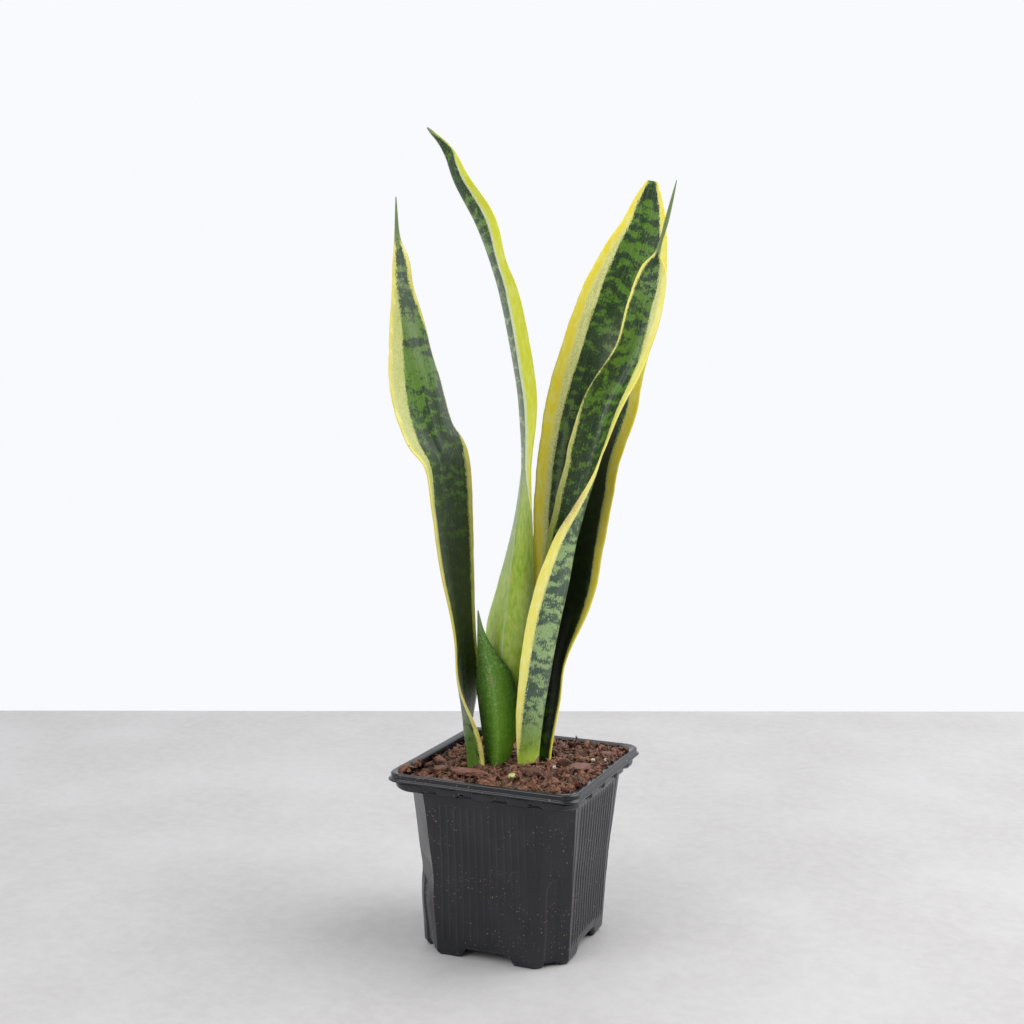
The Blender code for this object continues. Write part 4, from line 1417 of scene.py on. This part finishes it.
def drop_place(dice):
    """A place on the mix that no leaf stands on and no larger piece covers."""
    while True:
        x, y = dice.uniform(-1, 1) * CRUMB_HALF, dice.uniform(-1, 1) * CRUMB_HALF
        inside = abs(x) + abs(y) < 2 * CRUMB_HALF - 7 * MM
        at = (POT_X + x, POT_Y + y)
        if inside and clear_of_leaves(*at) and clear_of_loose(*at):
            return x, y


# %% Scatter the crumbs
CRUMB_COUNT = 3400
BIG_COUNT = 46
LEDGE_COUNT = 110


def drop_crumb(heap, dice, x, y, z, length):
    """One crumb, either a stubby lump or a thin torn flake."""
    if dice.random() < 0.5:
        size = (1.0, dice.uniform(0.5, 0.95), dice.uniform(0.4, 0.8))
        tilt = 0.7
    else:
        size = (1.5, dice.uniform(0.35, 0.7), dice.uniform(0.12, 0.28))
        tilt = 1.1
    size = [length * share for share in size]
    turn = (dice.uniform(-tilt, tilt), dice.uniform(-tilt, tilt), dice.uniform(0, 2 * math.pi))
    points, faces = lump(dice, size, 2 if length > 1.9 * MM else 1, 0.8, turn)
    heap.add(points + (POT_X + x, POT_Y + y, z), faces, dice.random())


dice = random.Random(11)
crumbs = Heap()
for i in range(CRUMB_COUNT):
    x, y = drop_place(dice)
    big = dice.random() ** 3
    z = float(mix_height(x, y)) + dice.uniform(-1.2, 1.2) * MM
    drop_crumb(crumbs, dice, x, y, z, (1.2 + 4.6 * big) * MM)
for i in range(BIG_COUNT):
    x, y = drop_place(dice)
    z = float(mix_height(x, y)) + dice.uniform(-0.5, 1.5) * MM
    drop_crumb(crumbs, dice, x, y, z, dice.uniform(4.5, 7.5) * MM)
for i in range(LEDGE_COUNT):
    side = dice.choice((-1, 1, 1))
    x = side * dice.uniform(44.0, 48.8) * MM
    y = dice.uniform(-47, -24 if side < 0 else 42) * MM
    drop_crumb(crumbs, dice, x, y, dice.uniform(94.6, 96.6) * MM, dice.uniform(0.8, 3.6) * MM)
mix_crumbs = crumbs.piece("mix_crumbs", "potting_mix")
print("crumbs:", len(mix_crumbs.data.polygons), "faces")

# %% [markdown]
# ### Threads
#
# Coir threads and broken root hairs stick out between the crumbs. Each is a thin bent
# tube with three sides, which is enough at a tenth of a millimetre.

# %% Coir threads
THREAD_COUNT = 420
THREAD_STEPS = 9
THREAD_SIDES = 3


def thread(dice, start, length, radius):
    """Points and faces of one bent thread that thins towards its end."""
    heading = dice.uniform(0, 2 * math.pi)
    climb = dice.uniform(-0.2, 0.7)
    here = np.array(start, float)
    points = []
    for k in range(THREAD_STEPS):
        out = radius * (1 - 0.6 * k / THREAD_STEPS)
        ahead = np.array([math.cos(heading), math.sin(heading), climb])
        sideways = np.array([-math.sin(heading), math.cos(heading), 0.0])
        raised = np.cross(ahead, sideways)
        for corner in range(THREAD_SIDES):
            turn = 2 * math.pi * corner / THREAD_SIDES
            points.append(here + out * (sideways * math.cos(turn) + raised * math.sin(turn)))
        here = here + ahead * length / THREAD_STEPS
        heading += dice.uniform(-0.6, 0.6)
        climb += dice.uniform(-0.35, 0.2)
    last = (THREAD_STEPS - 1) * THREAD_SIDES
    ends = [(2, 1, 0), (last, last + 1, last + 2)]
    return np.array(points), tube_faces(THREAD_STEPS, THREAD_SIDES) + ends


threads = Heap()
for i in range(THREAD_COUNT):
    x, y = drop_place(dice)
    z = float(mix_height(x, y)) + dice.uniform(0.6, 2.4) * MM
    points, faces = thread(dice, (POT_X + x, POT_Y + y, z), dice.uniform(3, 8) * MM,
                           dice.uniform(0.08, 0.2) * MM)
    threads.add(points, faces, dice.random())
mix_threads = threads.piece("mix_threads", "potting_mix")
print("threads:", len(mix_threads.data.polygons), "faces")

# %% [markdown]
# ### The larger loose pieces
#
# Flat bark chips, round perlite, one feed pellet and two broken twigs are large enough
# to be parts of their own in the model. The chips, grains and pellet are made from the
# same rough lump, fitted to their CAD nodes' boxes, and the twigs from short bent tubes.

# %% Shapes fitted to their nodes
def fitted(name, slot, detail, break_up, seed, shape=None, stretch=1.0):
    """A rough lump that fills its CAD node's box."""
    low, high = [np.array(corner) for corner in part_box(name)]
    points, faces = lump(random.Random(seed), (2, 2, 2), detail, break_up, turn=(0, 0, 0))
    if shape:
        points = shape(points)
    points = (points - points.min(0)) / (points.max(0) - points.min(0))
    points = (low + high) / 2 + (points - 0.5) * (high - low) * stretch
    piece = add_piece(name + "_fine", points, faces, slot, name)
    keep_values(piece, "tone", np.full(len(points), random.Random(seed).random()))
    return piece


def flattened(points):
    """Flat top and bottom with broken sides, as a chip of bark has."""
    flat = points.copy()
    flat[:, 2] = np.sign(flat[:, 2]) * np.abs(flat[:, 2]) ** 0.3
    return flat


chips = [fitted("bark_chip_%d" % i, "bark", 5, 0.3, 40 + i, flattened, 1.15)
         for i in range(1, 7)]
grains = [fitted("perlite_%d" % i, "perlite", 4, 0.3, 60 + i) for i in range(1, 6)]
pellet = fitted("fertiliser_pellet", "pellet", 4, 0.06, 71)
print("chips:", len(chips), "grains:", len(grains))


# %% Twigs
TWIG_STEPS = 8
TWIG_SIDES = 8
# (share of the twig's height, radius in millimetres) of its stem and two stubs.
TWIG_PARTS = [(1.0, 0.55), (0.28, 0.4), (0.22, 0.35)]


def twig_part(dice, start, lean, length, radius):
    """Points and faces of one part, and a place a little below its end."""
    points = []
    here = start
    for k in range(TWIG_STEPS + 1):
        for side in range(TWIG_SIDES):
            turn = 2 * math.pi * side / TWIG_SIDES
            out = radius * (1 - 0.35 * k / TWIG_STEPS) * dice.uniform(0.85, 1.15)
            points.append(here + Vector((math.cos(turn), math.sin(turn), 0)) * out)
        here = here + lean * (length / TWIG_STEPS)
        lean = lean + Vector((dice.uniform(-0.12, 0.12), dice.uniform(-0.12, 0.12), 0))
    faces = tube_faces(TWIG_STEPS + 1, TWIG_SIDES)
    last = TWIG_STEPS * TWIG_SIDES
    faces += [tuple(reversed(range(TWIG_SIDES))), tuple(range(last, last + TWIG_SIDES))]
    return np.array(points), faces, here - lean * (length / TWIG_STEPS) * 1.5


def build_twig(name, seed):
    """A bent broken twig with two stubs near its top, inside its node's box."""
    low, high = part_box(name)
    dice = random.Random(seed)
    start = Vector(((low.x + high.x) / 2, (low.y + high.y) / 2, low.z - 1 * MM))
    twig = Heap()
    for part, (share, radius) in enumerate(TWIG_PARTS):
        lean = Vector((dice.uniform(-0.15, 0.15), dice.uniform(-0.15, 0.15), 1.0))
        if part:
            lean = Vector((dice.uniform(-0.9, 0.9), dice.uniform(-0.9, 0.9), 0.5))
        length = (high.z - low.z) * share
        points, faces, top = twig_part(dice, start, lean, length, radius * MM)
        if part == 0:
            start = top
        twig.add(points, faces, dice.random())
    return twig.piece(name + "_fine", "bark", name)


twigs = [build_twig("twig_1", 5), build_twig("twig_2", 9)]
print("twigs:", len(twigs))

# %% [markdown]
# ### The creeping stem
#
# Hidden in the mix lies the rhizome that all five leaves grow from. It is a stubby
# orange-brown stem with ring scars where old leaf scales sat.

# %% Rhizome
# (across, deep) in millimetres, the same path as in the CAD model.
RHIZOME_PATH = [(-30, 3), (-21, 2), (-11, 1), (1, 2), (10, 6), (16, 15)]
RHIZOME_SIDES = 40
RHIZOME_FILL = 0.97
SCAR_COUNT = 17
SCAR_DEEP = 0.06


def build_rhizome():
    """A round stem along its path, blunt at both ends, with a groove at each scar."""
    low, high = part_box("rhizome")
    radius = RHIZOME_FILL * (high.z - low.z) / 2
    path = smooth_rows(RHIZOME_PATH, 120) * MM
    along = unit(np.gradient(path, axis=0))
    run = np.linspace(0, 1, len(path))
    swell = np.minimum(1.0, np.sqrt(np.minimum(run, 1 - run) * 9) * 0.72 + 0.32)
    scars = 1 - SCAR_DEEP * np.exp(-((run * SCAR_COUNT) % 1.0 / 0.2) ** 2)
    points = []
    for (px, py), (ax, ay), size in zip(path, along, swell * scars):
        for k in range(RHIZOME_SIDES):
            turn = 2 * math.pi * k / RHIZOME_SIDES
            out = radius * size * math.cos(turn)
            x, y = from_fan(px - ay * out, py + ax * out)
            points.append((x, y, (low.z + high.z) / 2 + radius * size * math.sin(turn)))
    faces = [face[::-1] for face in tube_faces(len(path), RHIZOME_SIDES)]
    end = len(path) * RHIZOME_SIDES
    faces += [tuple(range(RHIZOME_SIDES)), tuple(range(end - 1, end - RHIZOME_SIDES - 1, -1))]
    return add_piece("rhizome_fine", points, faces, "rhizome_skin", "rhizome")


rhizome = build_rhizome()
print("rhizome:", len(rhizome.data.polygons), "faces")

# %% [markdown]
# ## Finishes of the mix
#
# Moist bark and coir are red brown, nearly black where they are wet, and dull. One group
# gives that colour from each crumb's own random number and a fine grain, and the ground,
# crumbs, threads, chips and twigs all use it with their own two colours.

# %% Earthy colour
TORN_TAN = (0.33, 0.18, 0.11)
WET_BLACK = (0.012, 0.006, 0.005)

group, given, result = new_group(
    "Earthy colour",
    [("Place", "place"), ("Tone", "value", 0.5),
     ("Dark", "colour", (0.03, 0.012, 0.008, 1)), ("Light", "colour", (0.2, 0.09, 0.05, 1)),
     ("Fineness", "value", 900.0)],
    [("Color", "colour"), ("Roughness", "value"), ("Height", "value")])
place, fineness = given.outputs["Place"], given.outputs["Fineness"]
coarse = grain(group, place, times(group, fineness, 0.3), 3.0)
fine = grain(group, place, fineness, 4.0, 0.7)
light_share = times_plus(group, given.outputs["Tone"], 0.75,
                         maths(group, "SUBTRACT", coarse, 0.28), clamp=True)
earth = blend(group, light_share, given.outputs["Dark"], given.outputs["Light"])
earth = blend(group, ramp(group, fine, 0.55, 0.75, 0.0, 0.4), earth, TORN_TAN)
earth = blend(group, ramp(group, fine, 0.25, 0.42, 0.6, 0.0), earth, WET_BLACK)
feed(group, result.inputs["Color"], earth)
feed(group, result.inputs["Roughness"], times_plus(group, fine, 0.5, 0.3))
feed(group, result.inputs["Height"], times_plus(group, coarse, 0.6, fine))
EARTH = group
print("earthy colour:", len(EARTH.nodes), "nodes")


# %% Finishes that use it
def earthy_finish(name, pieces, dark, light, fineness, bump, toned=True):
    """One finish for some pieces; toned ones take each crumb's own number."""
    material, tree, shader = new_finish(name, Specular_IOR_Level=0.5)
    look = use_group(tree, EARTH, Place=object_place(tree), Dark=(*dark, 1),
                     Light=(*light, 1), Fineness=fineness)
    if toned:
        feed(tree, look["Color"].node.inputs["Tone"], kept(tree, "tone"))
    feed(tree, shader.inputs["Base Color"], look["Color"])
    feed(tree, shader.inputs["Roughness"], look["Roughness"])
    relief(tree, shader, look["Height"], bump * MM)
    for piece in pieces:
        piece.data.materials.append(material)


# The ground shows only in the gaps between crumbs. Its near-black colour is partly wet soil and
# partly painted shade for those gaps.
earthy_finish("wet_ground_painted_gap_shade", [ground], (0.005, 0.0025, 0.002), (0.035, 0.015, 0.01),
              1100.0, 0.5, toned=False)
earthy_finish("bark_crumbs", [mix_crumbs], (0.006, 0.0024, 0.0017), (0.26, 0.102, 0.054),
              1300.0, 0.5)
earthy_finish("coir_threads", [mix_threads], (0.08, 0.035, 0.02), (0.45, 0.28, 0.16),
              1500.0, 0.1)
earthy_finish("bark_chips", chips, (0.07, 0.027, 0.018), (0.24, 0.1, 0.062), 1000.0, 0.4)
earthy_finish("broken_twig", twigs, (0.05, 0.02, 0.014), (0.2, 0.09, 0.06), 1600.0, 0.2)
earthy_finish("rhizome_skin_fine", [rhizome], (0.3, 0.13, 0.03), (0.62, 0.4, 0.14),
              500.0, 0.2, toned=False)
print("earthy finishes: ground, crumbs, threads, chips, twigs and rhizome")

# %% [markdown]
# ### Perlite and pellet
#
# Perlite is expanded volcanic glass: chalky, off-white, full of tiny pits. The pellet of
# slow-release feed is a smooth coated bead that has faded to a dull yellow green.

# %% Perlite
material, tree, shader = new_finish("chalky_perlite", Specular_IOR_Level=0.4,
                                    Subsurface_Weight=0.15, Subsurface_Scale=0.001)
where = object_place(tree)
pits = spot_field(tree, where, 1800.0).outputs["Distance"]
dirt = grain(tree, where, 700.0, 3.0)
colour = blend(tree, ramp(tree, dirt, 0.45, 0.7, 0.0, 0.65), (0.72, 0.7, 0.62),
               (0.35, 0.24, 0.15))
colour = blend(tree, ramp(tree, pits, 0.0, 0.35, 0.5, 0.0), colour, (0.3, 0.27, 0.22))
feed(tree, shader.inputs["Base Color"], colour)
feed(tree, shader.inputs["Roughness"], times_plus(tree, dirt, 0.2, 0.7))
relief(tree, shader, pits, 0.4 * MM)
for piece in grains:
    piece.data.materials.append(material)
print("perlite grains:", len(grains))

# %% Feed pellet
material, tree, shader = new_finish("coated_pellet", Specular_IOR_Level=0.5)
where = object_place(tree)
cloud = grain(tree, where, 500.0, 4.0, 0.65)
colour = blend(tree, ramp(tree, cloud, 0.38, 0.62), (0.36, 0.4, 0.1), (0.55, 0.56, 0.26))
colour = blend(tree, ramp(tree, grain(tree, where, 1500.0), 0.6, 0.7, 0.0, 0.6), colour,
               (0.16, 0.14, 0.05))
feed(tree, shader.inputs["Base Color"], colour)
feed(tree, shader.inputs["Roughness"], times_plus(tree, cloud, 0.3, 0.4))
relief(tree, shader, cloud, 0.2 * MM)
pellet.data.materials.append(material)
print("pellet:", len(pellet.data.polygons), "faces")

# %% [markdown]
# ## Table, light and camera
#
# The table is a pale plain slab that ends half a metre behind the plant. The light is
# soft: a sky that is white behind the plant and dimmer behind the camera, one large panel
# from the upper front left, and a stronger one from the right. Large panels were chosen
# over small lamps, because they leave no hard shadow. The camera stands in front of the
# leaf fan, at about two thirds of the plant's height, and looks slightly down.

# %% Table
TABLE_HALF = 1.3
TABLE_FRONT = -1.6
TABLE_BACK = 0.488
TABLE_THICK = 0.03


def build_table():
    """A slab with its top at height 0."""
    corners = [(-TABLE_HALF, TABLE_FRONT), (TABLE_HALF, TABLE_FRONT),
               (TABLE_HALF, TABLE_BACK), (-TABLE_HALF, TABLE_BACK)]
    points = [(*from_fan(across, deep), 0.0) for across, deep in corners]
    points += [(x, y, -TABLE_THICK) for x, y, z in points]
    faces = [(0, 1, 2, 3), (7, 6, 5, 4)]
    faces += [(i, i + 4, (i + 1) % 4 + 4, (i + 1) % 4) for i in range(4)]
    mesh = bpy.data.meshes.new("table")
    mesh.from_pydata(points, [], faces)
    table = new_object("table", mesh)
    return table


table = build_table()
print("table: %.1f m wide" % (2 * TABLE_HALF))

# %% Pale stone
material, tree, shader = new_finish("pale_table", Specular_IOR_Level=0.3)
where = object_place(tree)
stone = grain(tree, where, 9.0, 5.0, 0.55)
fine_stone = grain(tree, where, 120.0, 4.0, 0.7)
colour = blend(tree, ramp(tree, stone, 0.35, 0.7), (0.455, 0.442, 0.438),
               (0.505, 0.495, 0.495))
colour = blend(tree, ramp(tree, fine_stone, 0.3, 0.7, 0.0, 0.3), colour, (0.6, 0.59, 0.59))
feed(tree, shader.inputs["Base Color"], colour)
feed(tree, shader.inputs["Roughness"], times_plus(tree, stone, 0.2, 0.5))
table.data.materials.append(material)
print("table finish:", material.name)

# %% Sky
SKY_STRENGTH = 0.985
SKY_TILT = 0.35
ROOM_DIM = (0.3, 0.3, 0.31)
ROOM_WHITE = (0.955, 0.97, 1.0)

world = bpy.data.worlds.new("studio")
world.use_nodes = True
bpy.context.scene.world = world
tree = world.node_tree
sky = tree.nodes["Background"]
sky.inputs["Strength"].default_value = SKY_STRENGTH
ahead = tree.nodes.new("ShaderNodeVectorMath")
ahead.operation = "DOT_PRODUCT"
feed(tree, ahead.inputs[0], tree.nodes.new("ShaderNodeTexCoord").outputs["Generated"])
ahead.inputs[1].default_value = (-math.sin(FAN_TURN), math.cos(FAN_TURN), SKY_TILT)
room = ramp(tree, ahead.outputs["Value"], -0.45, 0.45)
feed(tree, sky.inputs["Color"], blend(tree, room, ROOM_DIM, ROOM_WHITE))
print("sky strength:", SKY_STRENGTH)

# %% Panels
PANEL_AIM_UP = 0.2


def add_panel(name, place, size, power):
    """A square soft panel at a place (across, deep, up), which looks at the plant."""
    across, deep, up = place
    lamp = bpy.data.lights.new(name, "AREA")
    lamp.shape = "SQUARE"
    lamp.size = size
    lamp.energy = power
    panel = new_object(name, lamp)
    panel.location = (*from_fan(across, deep), up)
    aim = Vector((POT_X, POT_Y, PANEL_AIM_UP)) - panel.location
    panel.rotation_mode = "QUATERNION"
    panel.rotation_quaternion = aim.to_track_quat("-Z", "Y")
    print("%s: %.1f m, %.0f W" % (name, size, power))


add_panel("front_left_panel", (-0.9, -0.9, 1.1), 1.2, 13.0)
add_panel("right_panel", (1.05, 0.0, 1.1), 1.4, 20.0)

# %% Camera
CAMERA_BACK = 0.704
CAMERA_UP = 0.297
LOOK_DOWN = math.radians(5.6)
LOOK_LEFT = math.radians(0.25)
SENSOR_WIDE = 36.0
LENS = 47.46
FAR_CLIP = 20.0

camera_data = bpy.data.cameras.new("camera")
camera_data.sensor_width = SENSOR_WIDE
camera_data.lens = LENS
camera_data.clip_end = FAR_CLIP
camera = new_object("camera", camera_data)
camera.location = (*from_fan(0.0, -CAMERA_BACK), CAMERA_UP)
camera.rotation_euler = (math.pi / 2 - LOOK_DOWN, 0.0, FAN_TURN + LOOK_LEFT)
bpy.context.scene.camera = camera
bpy.context.scene.view_settings.view_transform = "Standard"
print("camera: %.0f mm lens, %.2f m in front of the pot" % (LENS, CAMERA_BACK))
